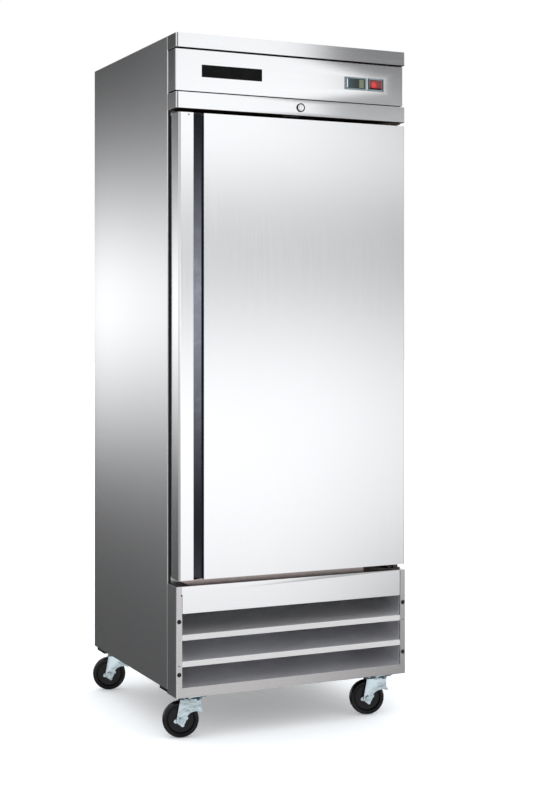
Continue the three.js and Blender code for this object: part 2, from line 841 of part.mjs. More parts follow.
// A motor with a shaft and three arms, which reach out to the plate it hangs from.
function fanMotor([x, y, z], radius, length, shaft, armReach, armY) {
  const can = rod("y", [0, 0], radius, [0, length], 24);
  const spindle = rod("y", [0, 0], 3, [-shaft, 1], 12);
  const arms = [90, 210, 330].map((angle) => {
    const arm = box([radius - 3, armReach], [length * 0.4, length * 0.4 + 3], [-4, 4]);
    const foot = box([armReach - 3, armReach], [armY, length * 0.4 + 3], [-4, 4]);
    return turn(join(arm, foot), 0, -angle, 0);
  });
  return move(join(can, spindle, ...arms), x, y, z);
}

const evaporatorFanPlace = [evaporator.fanX, evaporator.y[0] + 16, evaporatorFanZ];

function evaporatorFanMotor() {
  const [x, y, z] = evaporatorFanPlace;
  const start = y + 12;
  const wallGap = evaporator.y[0] + sheet + fit - start;
  return fanMotor([x, start, z], 24, 42, 18, evaporator.fanRadius + 10, wallGap);
}

// ---- Condensing unit ----
const condenser = {
  x: [-265, 25],
  y: [front + 128, front + 178],
  z: [deckTop + 4, deckTop + 214],
  fanRadius: 88,
};
const shroudY = [condenser.y[1] + fit, condenser.y[1] + fit + 32];
const condenserMiddle = [
  (condenser.x[0] + condenser.x[1]) / 2,
  (condenser.z[0] + condenser.z[1]) / 2,
];

function baseFrame() {
  const x = [left + 3, right - 3];
  const z = [base + fit, base + crossmember];
  const tube = (y) =>
    cut(
      box(x, y, z),
      box([x[0] - 1, x[1] + 1], [y[0] + 2, y[1] - 2], [z[0] + 2, z[1] - 2]),
    );
  const frontY = frontCrossmember.map((inset) => front + inset);
  const rearY = [back - rearCrossmember[1], back - rearCrossmember[0]];
  const railBottom = base + sideLift + 2;
  const rails = [
    [x[0], x[0] + 30],
    [x[1] - 30, x[1]],
  ].map((railX) =>
    cut(
      box(railX, [frontY[1] - 1, rearY[0] + 1], [railBottom, z[1]]),
      box([railX[0] + 2, railX[1] - 2], [frontY[1] - 2, rearY[0] + 2], [z[0] - 1, z[1] - 2]),
    ),
  );
  const plate = box([x[0], x[1]], [front + louvreDepth + 12, back - 6], [z[1] - 0.5, z[1] + deck]);
  return join(tube(frontY), tube(rearY), ...rails, plate);
}

function compressor() {
  const middle = [205, back - 165];
  const foot = deckTop + fit;
  const dome = lathe(
    [
      [0, 14],
      [66, 14],
      [76, 26],
      [78, 92],
      [80, 96],
      [80, 102],
      [77, 106],
      [72, 142],
      [54, 162],
      [26, 172],
      [0, 173],
    ],
    20,
  );
  const feet = [
    [-88, -62],
    [88, -62],
    [-88, 62],
    [88, 62],
  ];
  const pads = feet.map(([x, y]) => rod("z", [x, y], 13, [0, 14], 10));
  const cross = box([-100, 100], [-72, 72], [10, 14]);
  const terminals = box([-26, 26], [-100, -70], [60, 110]);
  const suction = rod("x", [20, 96], 6, [60, 112], 12);
  return move(join(dome, cross, ...pads, terminals, suction), middle[0], middle[1], foot);
}

function condenserShroud() {
  const [x, z] = condenserMiddle;
  const outer = box(condenser.x, shroudY, [deckTop + fit, condenser.z[1]]);
  const hollow = box(
    [condenser.x[0] + 1.5, condenser.x[1] - 1.5],
    [shroudY[0] - 1, shroudY[1] - 1.5],
    [deckTop + 2, condenser.z[1] - 1.5],
  );
  const mouth = rod("y", [x, z], condenser.fanRadius + 6, [shroudY[0] - 1, shroudY[1] + 1], 32);
  return cut(outer, hollow, mouth);
}

const condenserFanPlace = [condenserMiddle[0], shroudY[1] - 6, condenserMiddle[1]];

function condenserFanMotor() {
  const [x, y, z] = condenserFanPlace;
  const start = y + 24;
  const armEnd = shroudY[1] + fit - start;
  return fanMotor([x, start, z], 34, 60, 30, condenser.fanRadius + 12, armEnd);
}

// The control box, with the gland that the supply lead enters by.
function electricalBox() {
  const x = [95, 245];
  const y = [front + 150, front + 235];
  const z = [deckTop + fit, deckTop + 120];
  const inside = box([x[0] + 1.5, x[1] - 1.5], [y[0] + 1.5, y[1] + 1], [z[0] + 1.5, z[1] - 1.5]);
  const body = cut(box(x, y, z), inside);
  const lid = box([x[0] - 1, x[1] + 1], [y[1] - 0.5, y[1] + 1.5], [z[0], z[1] + 1]);
  const gland = rod("y", [x[1] - 30, z[0] + 40], 11, [y[1], y[1] + 16], 16);
  const throat = rod("y", [x[1] - 30, z[0] + 40], 5, [y[1] - 6, y[1] + 20], 16);
  return cut(join(body, lid, gland), throat);
}

function rearGuard() {
  const inset = 12 + bend + fit;
  const x = [left + inset, right - inset];
  const z = [deckTop + fit, foamBottom - 2];
  const plate = box(x, [back - sheet, back], z);
  const rows = 8;
  const columns = 3;
  const pitchZ = (z[1] - z[0] - 60) / (rows - 1);
  const pitchX = (x[1] - x[0] - 60) / columns;
  const slots = [];
  for (let row = 0; row < rows; row++) {
    for (let column = 0; column < columns; column++) {
      const slotX = x[0] + 30 + column * pitchX + 12;
      const slotZ = z[0] + 30 + row * pitchZ;
      slots.push(box([slotX, slotX + pitchX - 24], [back - 3, back + 2], [slotZ - 3, slotZ + 3]));
    }
  }
  return cut(plate, ...slots);
}

// ---- Casters ----
// Each is made about its swivel axis, with the floor at z = 0 and the wheel trailing along +X.
const legInside = wheelWidth / 2 + forkGap;
const crownTop = casterHeight - crownDrop;
const forkHeel = -21; // the fork's edge on the far side of the swivel

function casterPlate() {
  const half = { x: 30, y: 40 };
  const corners = [
    [-half.x, -half.y],
    [half.x, -half.y],
    [half.x, half.y],
    [-half.x, half.y],
  ];
  const plate = prism("z", rounded(corners, [8, 8, 8, 8], 3), [casterHeight - 3, casterHeight]);
  const boltZ = [casterHeight - 5, casterHeight + 1];
  const boltHoles = corners.map(([x, y]) => rod("z", [x * 0.66, y * 0.76], 4.5, boltZ, 8));
  const cup = lathe(
    [
      [0, crownTop + 5.5],
      [20, crownTop + 5.5],
      [26, crownTop + 9],
      [28, casterHeight - 2],
      [0, casterHeight - 2],
    ],
    18,
  );
  const kingPin = rod("z", [0, 0], axleRadius, [crownTop - 8, casterHeight - 4], 16);
  const kingHead = rod("z", [0, 0], 7, [crownTop - 8, crownTop - forkSheet - 1], 8);
  return join(cut(plate, ...boltHoles), cup, kingPin, kingHead);
}

// One leg's side view: crown at the top, an arch over the wheel, and a boss around the axle.
function forkSideOutline() {
  const boss = 13;
  const archHeight = wheelRadius + 24;
  const archEnd = [trail - boss, wheelRadius + 2];
  const arch = Array.from({ length: 8 }, (_, i) => {
    const t = i / 8;
    const mix = (a, b, c) => (1 - t) ** 2 * a + 2 * t * (1 - t) * b + t ** 2 * c;
    const x = mix(forkHeel + 6, archEnd[0] - 7, archEnd[0]);
    return [x, mix(archHeight, archHeight + 2, archEnd[1])];
  });
  const under = Array.from({ length: 11 }, (_, i) => {
    const angle = THREE.MathUtils.degToRad(171 + (i * 194) / 10);
    return [trail + boss * Math.cos(angle), wheelRadius + boss * Math.sin(angle)];
  });
  return [
    [forkHeel, crownTop],
    [forkHeel, archHeight + 8],
    [forkHeel - 4, archHeight + 4],
    [forkHeel - 5.5, archHeight],
    [forkHeel - 3.5, archHeight - 3],
    [forkHeel, archHeight - 2.5],
    ...arch,
    ...under,
    [trail + 3, crownTop],
  ];
}

function casterFork() {
  const outline = forkSideOutline();
  const legs = [
    [legInside, legInside + forkSheet],
    [-legInside - forkSheet, -legInside],
  ].map((y) => prism("y", outline, y));
  const half = legInside + forkSheet;
  const crown = box([forkHeel, trail + 3], [-half, half], [crownTop - forkSheet, crownTop]);
  const webZ = [wheelRadius + 32, crownTop];
  const web = box([forkHeel, forkHeel + forkSheet], [-half, half], webZ);
  const race = lathe(
    [
      [0, crownTop - 1],
      [27, crownTop - 1],
      [27, crownTop + 3],
      [18, crownTop + 5],
      [0, crownTop + 5],
    ],
    18,
  );
  const kingHole = rod("z", [0, 0], clearance(axleRadius, 16), [crownTop - 20, crownTop + 20], 16);
  const axleHole = rod("y", [trail, wheelRadius], axleRadius + fit, [-half - 5, half + 5], 12);
  return cut(join(...legs, crown, web, race), kingHole, axleHole);
}

function casterAxle() {
  const half = legInside + forkSheet + fit;
  const at = [trail, wheelRadius];
  const shank = rod("y", at, axleRadius, [-half - 5, half + 6], 12);
  const head = rod("y", at, 8, [-half - 5, -half], 6);
  const nut = rod("y", at, 8, [half, half + 5], 6);
  return join(shank, head, nut);
}

function casterWheel() {
  const half = wheelWidth / 2;
  const profile = [
    [0, -half - 1],
    [13, -half - 1],
    [14, -half + 6],
    [wheelRadius - 15, -half + 6],
    [wheelRadius - 12, -half],
    [wheelRadius - 4, -half],
    [wheelRadius, -half + 5],
  ];
  const mirrored = profile.map(([r, z]) => [r, -z]).reverse();
  const wheel = turn(lathe([...profile, ...mirrored], 26), 90, 0, 0);
  const bore = rod("y", [0, 0], clearance(axleRadius, 12), [-half - 3, half + 3], 12);
  return move(cut(wheel, bore), trail, 0, wheelRadius);
}

function caster(name, x, y) {
  const stand = new THREE.Group();
  stand.position.set(x, y, 0);
  part.add(stand);
  const swivel = new THREE.Group();
  swivel.rotation.z = THREE.MathUtils.degToRad(swivelRest);
  stand.add(swivel);
  add("caster_plate_" + name, casterPlate(), zinc(), stand);
  add("caster_fork_" + name, casterFork(), zinc(), swivel);
  add("caster_axle_" + name, casterAxle(), zinc(), swivel);
  add("caster_wheel_" + name, casterWheel(), finish(0x0c0d10, 0.5, 0), swivel);
}

// ---- Assembly ----
add("side_panel_left", sidePanel("left"), steel());
add("side_panel_right", sidePanel("right"), steel());
add("top_panel", topPanel(), steel());
add("rear_panel", rearPanel(), galvanised());
add("foam_insulation", foamInsulation(), finish(0xe6d9a8, 0.9, 0));
add("inner_liner", innerLiner(), aluminium());
add("face_frame", faceFrame(), steel());
add("header_top_rail", headerTopRail(), steel());
add("header_fascia", headerFascia(), steel());
add("header_lower_rail", headerLowerRail(), steel());
add("name_plate", namePlateSolid(), blackPlastic());
add("thermostat", thermostat(), finish(0x1c3a40, 0.2, 0));
add("switch_housing", switchHousing(), blackPlastic());
add("rocker_switch", rockerSwitch(), finish(0xb01015, 0.25, 0));
add("lock_housing", lockHousing(), zinc());
add("lock_cylinder", lockCylinder(), zinc());
add("door_skin", doorSkin(), steel());
add("door_handle_channel", doorHandleChannel(), finish(0x3a3c44, 0.4, 0.3));
add("door_foam", doorFoam(), finish(0xe6d9a8, 0.9, 0));
add("door_liner", doorLiner(), aluminium());
add("door_gasket", doorGasket(), blackPlastic());
add("hinge_bracket_top", hingeBracket("top"), steel());
add("hinge_bracket_bottom", hingeBracket("bottom"), steel());
add("grille_frame", grilleFrame(), steel());
add("grille_louvres", grilleLouvres(), steel());
for (const [name, y] of [
  ["front", face + pilasterInset],
  ["rear", cavity.back - pilasterInset],
]) {
  for (const side of ["left", "right"]) {
    add("shelf_pilaster_" + name + "_" + side, shelfPilaster(side, y), steel());
  }
}
shelfLevels.forEach((level, i) => add("wire_shelf_" + (i + 1), wireShelf(level), whitePlastic()));
add("evaporator_cover", evaporatorCover(), aluminium());
add("evaporator_coil", evaporatorCoil(), aluminium());
add("evaporator_fan_motor", evaporatorFanMotor(), blackPlastic());
add("evaporator_fan", fan(evaporatorFanPlace, evaporator.fanRadius, 4), blackPlastic());
add("base_frame", baseFrame(), blackSteel());
add("compressor", compressor(), blackSteel());
add("condenser_coil", finnedBlock(condenser.x, condenser.y, condenser.z, 20), aluminium());
add("condenser_shroud", condenserShroud(), galvanised());
add("condenser_fan_motor", condenserFanMotor(), blackPlastic());
add("condenser_fan", fan(condenserFanPlace, condenser.fanRadius, 5), aluminium());
add("electrical_box", electricalBox(), galvanised());
add("rear_guard", rearGuard(), galvanised());
for (const [end, y] of [
  ["front", front + casterInsetFront],
  ["rear", back - casterInsetBack],
]) {
  caster(end + "_left", left + casterInsetSide, y);
  caster(end + "_right", right - casterInsetSide, y);
}

export default part;
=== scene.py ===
# %% [markdown]
# # A one-door reach-in refrigerator
# The solid model comes in first and fixes every size and every joint. This lesson then gives
# each piece its finish, and rebuilds the pieces whose shape needs more than flat sheet: casters,
# screws, lock, display, tubes and fittings.

# %% Load the solid model
import json
import math

import bmesh
import bpy
from mathutils import Matrix, Vector


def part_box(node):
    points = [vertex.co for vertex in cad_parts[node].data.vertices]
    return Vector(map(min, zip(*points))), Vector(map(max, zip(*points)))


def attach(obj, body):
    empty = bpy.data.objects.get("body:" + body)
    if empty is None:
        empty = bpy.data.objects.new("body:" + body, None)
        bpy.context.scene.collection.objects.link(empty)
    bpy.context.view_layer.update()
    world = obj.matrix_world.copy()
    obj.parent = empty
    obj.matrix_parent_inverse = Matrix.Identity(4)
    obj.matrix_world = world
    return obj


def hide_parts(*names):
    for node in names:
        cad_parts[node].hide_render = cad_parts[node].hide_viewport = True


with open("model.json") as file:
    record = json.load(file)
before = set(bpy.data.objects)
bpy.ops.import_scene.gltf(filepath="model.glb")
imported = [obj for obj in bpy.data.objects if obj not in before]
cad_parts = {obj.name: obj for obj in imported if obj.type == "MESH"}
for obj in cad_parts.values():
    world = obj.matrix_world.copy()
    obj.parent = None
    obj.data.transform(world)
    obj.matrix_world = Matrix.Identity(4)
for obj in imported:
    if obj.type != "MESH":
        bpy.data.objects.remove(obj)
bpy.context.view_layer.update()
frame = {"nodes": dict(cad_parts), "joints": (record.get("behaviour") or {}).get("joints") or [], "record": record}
nodes = frame["nodes"]
scene = bpy.context.scene

# %% [markdown]
# ## Camera
# A tall cabinet looks upright when the camera stays level. The camera is level here, and the
# picture is shifted down instead of tilting, so that the cabinet's edges stay parallel.

# %% Camera
EYE = (-1.8298, -4.0789, 1.1186)
TURN_TO_RIGHT = math.radians(25.02)
camera_data = bpy.data.cameras.new("camera")
camera_data.lens = 67.0
camera_data.sensor_width = 36.0
camera_data.shift_y = -0.0903
camera = bpy.data.objects.new("camera", camera_data)
camera.location = EYE
camera.rotation_euler = (math.radians(90), 0, -TURN_TO_RIGHT)
scene.collection.objects.link(camera)
scene.camera = camera
scene.view_settings.view_transform = "Standard"
print("camera at", tuple(camera.location))

# %% [markdown]
# ## Helpers for node trees
# A finish is a small network of nodes. These helpers add a node, set its values and join it, so
# that each finish below reads as a short list of what it is made of.


# %% Node helpers
def srgb(red, green, blue):
    """A screen colour, 0 to 255, as the linear colour that shaders use."""
    linear = [c / 255 / 12.92 if c < 11 else ((c / 255 + 0.055) / 1.055) ** 2.4 for c in (red, green, blue)]
    return (*linear, 1.0)


def add_node(tree, kind, values=None, **settings):
    """A node of a kind, with settings, and with numbers or links for its inputs."""
    node = tree.nodes.new(kind)
    for key, value in settings.items():
        setattr(node, key, value)
    for key, value in (values or {}).items():
        if isinstance(value, bpy.types.NodeSocket):
            tree.links.new(value, node.inputs[key])
        else:
            node.inputs[key].default_value = value
    return node


def calculate(tree, operation, first, second=0.0):
    """The result of a sum on two numbers or sockets."""
    return add_node(tree, "ShaderNodeMath", {0: first, 1: second}, operation=operation).outputs[0]


def ramp(tree, factor, stops, mode="B_SPLINE"):
    """A colour ramp with (place, grey) or (place, colour) stops."""
    node = add_node(tree, "ShaderNodeValToRGB", {0: factor})
    node.color_ramp.interpolation = mode
    elements = node.color_ramp.elements
    while len(elements) < len(stops):
        elements.new(0.5)
    for element, (position, value) in zip(elements, stops):
        element.position = position
        element.color = value if isinstance(value, tuple) else (value, value, value, 1.0)
    return node.outputs[0]


def mix_color(tree, factor, first, second, blend="MIX"):
    """The first colour at factor 0 and the second at factor 1, or another blend of the two."""
    values = {0: factor, 6: first, 7: second}
    return add_node(tree, "ShaderNodeMix", values, data_type="RGBA", blend_type=blend).outputs[2]


def map_range(tree, value, low, high, to_low=0.0, to_high=1.0, smooth=False):
    kind = "SMOOTHSTEP" if smooth else "LINEAR"
    values = {0: value, 1: low, 2: high, 3: to_low, 4: to_high}
    return add_node(tree, "ShaderNodeMapRange", values, interpolation_type=kind).outputs[0]


# %% [markdown]
# ## Studio
# Polished sheet shows the room more than itself. The room is a white dome for soft light, and
# what a shiny face sees in it is painted by direction: a broad white wall in front with one
# dim band that fades toward the far right, one level strip of light behind on the left with
# darkness above and below it, and one narrow strip that the slanted grip channel looks toward.
# The rest of the room is a plain soft grey that brightens upward.

# %% Studio dome
world = bpy.data.worlds.new("studio")
scene.world = world
world.use_nodes = True
dome = world.node_tree
dome.nodes.clear()
direction = add_node(dome, "ShaderNodeTexCoord").outputs["Generated"]
part_of = add_node(dome, "ShaderNodeSeparateXYZ", {0: direction})
toward_x, toward_y, upward = part_of.outputs
level = calculate(
    dome,
    "SQRT",
    calculate(
        dome,
        "ADD",
        calculate(dome, "MULTIPLY", toward_x, toward_x),
        calculate(dome, "MULTIPLY", toward_y, toward_y),
    ),
)
level = calculate(dome, "MAXIMUM", level, 0.001)
SLOPE_SPAN = 0.5
BRIGHTEST = 4.0
SOFT_LIGHT = 1.16
slope = calculate(dome, "DIVIDE", upward, level)
height = map_range(dome, slope, -SLOPE_SPAN, SLOPE_SPAN)


def facing(heading, start, full):
    """1 where the direction is near a level heading (x, y), and 0 away from it."""
    x, y = heading
    along = calculate(
        dome,
        "ADD",
        calculate(dome, "MULTIPLY", toward_x, x),
        calculate(dome, "MULTIPLY", toward_y, y),
    )
    return map_range(dome, calculate(dome, "DIVIDE", along, level), start, full, smooth=True)


def by_slope(stops, mode="B_SPLINE"):
    """A ramp whose stops are slopes of the sight line instead of places, and may pass 1."""
    placed = [((s + SLOPE_SPAN) / (2 * SLOPE_SPAN), v / BRIGHTEST) for s, v in stops]
    return calculate(dome, "MULTIPLY", ramp(dome, height, placed, mode), BRIGHTEST)


front_wall = by_slope(
    [
        (-0.45, 0.70),
        (-0.22, 0.92),
        (-0.17, 1.14),
        (-0.12, 1.30),
        (-0.06, 1.38),
        (-0.02, 1.37),
        (0.025, 0.74),
        (0.06, 0.41),
        (0.09, 0.66),
        (0.13, 1.95),
        (0.15, 1.28),
        (0.17, 1.00),
        (0.20, 1.16),
        (0.40, 1.10),
    ]
)
side_strip = by_slope(
    [
        (-0.45, 0.10),
        (-0.20, 0.08),
        (-0.13, 0.12),
        (-0.08, 0.34),
        (-0.02, 1.20),
        (0.02, 1.40),
        (0.06, 1.00),
        (0.11, 0.32),
        (0.17, 0.04),
        (0.25, 0.05),
        (0.40, 0.80),
        (0.48, 0.90),
    ]
)
grip_strip = by_slope(
    [
        (-0.45, 1.10),
        (-0.30, 1.20),
        (-0.21, 0.60),
        (-0.15, 0.00),
        (-0.10, 0.04),
        (-0.03, 1.20),
        (0.01, 2.10),
        (0.06, 1.10),
        (0.11, 0.06),
        (0.16, 0.00),
        (0.45, 0.30),
    ]
)
room = by_slope([(-0.5, 0.30), (-0.2, 0.42), (-0.03, 0.62), (0.05, 0.95), (0.2, 0.80), (0.5, 1.05)])
ahead = calculate(dome, "MAXIMUM", calculate(dome, "MULTIPLY", toward_y, -1.0), 0.05)
sideways = calculate(dome, "DIVIDE", toward_x, ahead)
FADE_START, FADE_FULL = 0.495, 0.635
far_right = map_range(dome, sideways, FADE_START, FADE_FULL, smooth=True)
falloff = by_slope(
    [
        (-0.30, 0.90),
        (-0.22, 0.90),
        (-0.185, 0.85),
        (-0.165, 0.55),
        (-0.14, 0.31),
        (-0.08, 0.27),
        (0.00, 0.30),
        (0.07, 0.31),
        (0.11, 0.18),
        (0.1335, 0.12),
        (0.1360, 0.92),
        (0.155, 0.90),
        (0.165, 0.78),
        (0.185, 1.00),
        (0.215, 1.00),
        (0.27, 0.20),
    ],
    "LINEAR",
)
shade = calculate(dome, "SUBTRACT", 1.0, calculate(dome, "MULTIPLY", far_right, falloff))
front_wall = mix_color(dome, 1.0, front_wall, shade, "MULTIPLY")
FAINTLY_BLUE = (0.985, 0.99, 1.0, 1.0)
FRONT_RIGHT = (0.444, -0.896)
BACK_LEFT = (-0.339, 0.941)
FRONT_LEFT = (-0.320, -0.947)
seen = mix_color(dome, facing(FRONT_RIGHT, 0.55, 0.86), room, front_wall)
seen = mix_color(dome, facing(BACK_LEFT, 0.60, 0.88), seen, side_strip)
seen = mix_color(dome, facing(FRONT_LEFT, 0.90, 0.97), seen, grip_strip)
seen = mix_color(dome, 1.0, seen, FAINTLY_BLUE, "MULTIPLY")
path = add_node(dome, "ShaderNodeLightPath")
soft_white = (SOFT_LIGHT, SOFT_LIGHT, SOFT_LIGHT, 1.0)
soft_light = mix_color(dome, path.outputs["Is Glossy Ray"], soft_white, seen)
light_color = mix_color(dome, path.outputs["Is Camera Ray"], soft_light, (1.0, 1.0, 1.0, 1.0))
sky = add_node(dome, "ShaderNodeBackground", {"Color": light_color, "Strength": 1.0})
add_node(dome, "ShaderNodeOutputWorld", {"Surface": sky.outputs[0]})
world.cycles.sampling_method = "NONE"
print("studio dome with", len(dome.nodes), "nodes")

# %% [markdown]
# ## Floor
# The floor is one wide pale sheet. Shiny pieces look past it to the dome, so that the low part
# of the cabinet keeps the dark tones that it has in a real room.

# %% Floor
FLOOR_REACH = 40
BELOW_WHEELS = 0.0005
floor_mesh = bmesh.new()
bmesh.ops.create_grid(floor_mesh, x_segments=1, y_segments=1, size=FLOOR_REACH)
floor_data = bpy.data.meshes.new("floor")
floor_mesh.to_mesh(floor_data)
floor_mesh.free()
floor = bpy.data.objects.new("floor", floor_data)
scene.collection.objects.link(floor)
floor.location = (0, 0, -BELOW_WHEELS)
floor.visible_glossy = False
floor_finish = bpy.data.materials.new("pale_floor")
floor_finish.use_nodes = True
floor_shader = floor_finish.node_tree.nodes["Principled BSDF"]
floor_shader.inputs["Base Color"].default_value = (0.93, 0.96, 0.99, 1)
floor_shader.inputs["Roughness"].default_value = 1.0
floor_shader.inputs["Specular IOR Level"].default_value = 0.0
floor_shader.inputs["Emission Color"].default_value = (1, 1, 1, 1)
floor_shader.inputs["Emission Strength"].default_value = 0.25
floor_data.materials.append(floor_finish)
print("floor", tuple(round(v, 2) for v in floor.dimensions))

# %% [markdown]
# ## Shared effects
# Brushing, dust and cast grain turn up on many finishes, so each is one node group with its own
# inputs. A group hands out masks and heights only, and each finish decides what they change. The dust
# group also hands out a mask of faces that look down, which the sheet finishes use for painted shade.


# %% Shared effects
def effect(name, inputs, outputs):
    """An empty node group, its first node and its last node."""
    group = bpy.data.node_groups.new(name, "ShaderNodeTree")
    for title, value in inputs:
        socket = group.interface.new_socket(title, in_out="INPUT", socket_type="NodeSocketFloat")
        socket.default_value = value
    for title in outputs:
        group.interface.new_socket(title, in_out="OUTPUT", socket_type="NodeSocketFloat")
    return group, group.nodes.new("NodeGroupInput"), group.nodes.new("NodeGroupOutput")


def place(tree):
    """Where a point is on its piece."""
    return add_node(tree, "ShaderNodeTexCoord").outputs["Object"]


def stretched(tree, x, y, z):
    """Object coordinates multiplied by three numbers or sockets."""
    scale = add_node(tree, "ShaderNodeCombineXYZ", {0: x, 1: y, 2: z})
    values = {0: place(tree), 1: scale.outputs[0]}
    return add_node(tree, "ShaderNodeVectorMath", values, operation="MULTIPLY").outputs[0]


def noise(tree, vector, scale=1.0, detail=2.0, roughness=0.5):
    values = {"Vector": vector, "Scale": scale, "Detail": detail, "Roughness": roughness}
    return add_node(tree, "ShaderNodeTexNoise", values).outputs[0]


brushed, made_of, gives = effect(
    "brushed", [("Across X", 900.0), ("Across Y", 900.0), ("Along Z", 7.0)], ["Grain", "Smear"]
)
fine = noise(brushed, stretched(brushed, *made_of.outputs[:3]), 1.0, 3.0, 0.6)
coarse = noise(brushed, stretched(brushed, 3.0, 3.0, 2.0), 1.0, 4.0, 0.55)
brushed.links.new(fine, gives.inputs["Grain"])
brushed.links.new(coarse, gives.inputs["Smear"])

dust_and_underside_shade, made_of, gives = effect("dust_and_underside_shade", [("Amount", 0.4), ("Patch Size", 18.0)], ["Mask", "Underside Shade"])
normal = add_node(dust_and_underside_shade, "ShaderNodeNewGeometry").outputs["Normal"]
upwards = add_node(dust_and_underside_shade, "ShaderNodeSeparateXYZ", {0: normal}).outputs[2]
settled = map_range(dust_and_underside_shade, upwards, 0.5, 1.0)
patches = map_range(dust_and_underside_shade, noise(dust_and_underside_shade, place(dust_and_underside_shade), made_of.outputs[1], 5.0, 0.6), 0.35, 0.7)
mask = calculate(dust_and_underside_shade, "MULTIPLY", calculate(dust_and_underside_shade, "MULTIPLY", settled, patches), made_of.outputs[0])
dust_and_underside_shade.links.new(mask, gives.inputs["Mask"])
# Faces that look down, as a mask for painted shade under things.
dust_and_underside_shade.links.new(map_range(dust_and_underside_shade, upwards, -0.5, -0.9), gives.inputs["Underside Shade"])

moulded, made_of, gives = effect("moulded", [("Grain Size", 1500.0)], ["Height", "Wear"])
pebbles = noise(moulded, place(moulded), made_of.outputs[0], 2.0, 0.5)
handled = map_range(moulded, noise(moulded, place(moulded), 35.0, 4.0, 0.6), 0.45, 0.75)
moulded.links.new(pebbles, gives.inputs["Height"])
moulded.links.new(handled, gives.inputs["Wear"])
print("effects:", [g.name for g in bpy.data.node_groups])


# %% Finish helpers
def start_finish(name, metallic=0.0, **fixed):
    """A new material with its tree and shader. Fixed values go straight onto the shader."""
    material = bpy.data.materials.new(name)
    material.use_nodes = True
    tree = material.node_tree
    shader = tree.nodes["Principled BSDF"]
    shader.inputs["Metallic"].default_value = metallic
    for key, value in fixed.items():
        shader.inputs[key.replace("_", " ")].default_value = value
    return material, tree, shader


def use_effect(tree, group, **values):
    node = tree.nodes.new("ShaderNodeGroup")
    node.node_tree = group
    for key, value in values.items():
        node.inputs[key.replace("_", " ")].default_value = value
    return node.outputs


def add_bump(tree, shader, height, depth, strength=1.0):
    values = {"Height": height, "Distance": depth, "Strength": strength}
    tree.links.new(add_node(tree, "ShaderNodeBump", values).outputs[0], shader.inputs["Normal"])


# %% [markdown]
# ## Sheet metal
# Cabinet sheet is stainless with a fine brushed grain, upright on the sides and the door, and
# level on the header and the grille. The grain is a noise stretched hundreds of times longer
# one way than the other. It changes the roughness more than the colour, as real brushing does.
# Zinc plate, chrome and bare aluminium come from the same function, with a grain that is as
# long one way as the other. On the zinc it is broad and deep, like the dents of pressed sheet.
# Faces that look down can be given a dark colour and less shine, as painted shade.


# %% Stainless sheet
GRAIN_TONE = 0.965
GRAIN_SPREAD = 0.05
GRAIN_DEPTH = 0.0000012
DUST_DULLS = 0.5
BARE_STEEL = (0.83, 0.835, 0.845)
SETTLED_DUST = (0.50, 0.48, 0.45, 1)


def stainless(
    name,
    grain,
    roughness=0.16,
    tint=BARE_STEEL,
    smear=0.02,
    dust_amount=0.35,
    under=None,
    depth=GRAIN_DEPTH,
):
    """A brushed metal. Faces that look down take the colour given as under, which is painted shade, and lose their
    shine.
    """
    material, tree, shader = start_finish(name, metallic=1.0)
    lines = use_effect(tree, brushed, Across_X=grain[0], Across_Y=grain[1], Along_Z=grain[2])
    darker = tuple(c * GRAIN_TONE for c in tint)
    color = mix_color(tree, map_range(tree, lines["Grain"], 0.3, 0.7), (*darker, 1), (*tint, 1))
    dust_and_shade_masks = use_effect(tree, dust_and_underside_shade, Amount=dust_amount)
    dust = dust_and_shade_masks["Mask"]
    color = mix_color(tree, dust, color, SETTLED_DUST)
    # Painted shade: faces that look down take the dark under colour and lose their shine.
    if under:
        color = mix_color(tree, dust_and_shade_masks["Underside Shade"], color, (*under, 1))
        shine = map_range(tree, dust_and_shade_masks["Underside Shade"], 0.0, 1.0, 0.5, 0.0)
        tree.links.new(shine, shader.inputs["Specular IOR Level"])
        # From here the dust mask also carries the painted underside shade, so those faces dull too.
        dust = calculate(tree, "MAXIMUM", dust, dust_and_shade_masks["Underside Shade"])
    tree.links.new(color, shader.inputs["Base Color"])
    rough = calculate(tree, "MULTIPLY_ADD", lines["Grain"], GRAIN_SPREAD)
    rough.node.inputs[2].default_value = roughness - GRAIN_SPREAD / 2 - smear / 2
    smeared = calculate(tree, "MULTIPLY_ADD", lines["Smear"], smear)
    tree.links.new(rough, smeared.node.inputs[2])
    dulled = calculate(tree, "ADD", smeared, calculate(tree, "MULTIPLY", dust, DUST_DULLS))
    tree.links.new(dulled, shader.inputs["Roughness"])
    tree.links.new(calculate(tree, "SUBTRACT", 1.0, dust), shader.inputs["Metallic"])
    add_bump(tree, shader, lines["Grain"], depth)
    return material


# How far back from the front edge the painted lip highlight reaches.
LIP_DEPTH = 0.002
LIP_RADIUS = 0.0006


def brighten_lip(material, front):
    """Paints a highlight: the front edge of a louvre is lighter than the blade behind it."""
    tree = material.node_tree
    color = tree.nodes["Principled BSDF"].inputs["Base Color"]
    forward = add_node(tree, "ShaderNodeSeparateXYZ", {0: place(tree)}).outputs[1]
    lip_highlight = map_range(tree, forward, front + LIP_DEPTH, front)
    lip_highlighted = mix_color(tree, lip_highlight, color.links[0].from_socket, (1.0, 1.0, 1.0, 1.0))
    tree.links.new(lip_highlighted, color)


UPRIGHT = (900.0, 900.0, 7.0)
LEVEL = (7.0, 900.0, 900.0)
DENTED = (20.0, 20.0, 20.0)
ROLLED = (60.0, 60.0, 60.0)
POLISHED = (300.0, 300.0, 300.0)
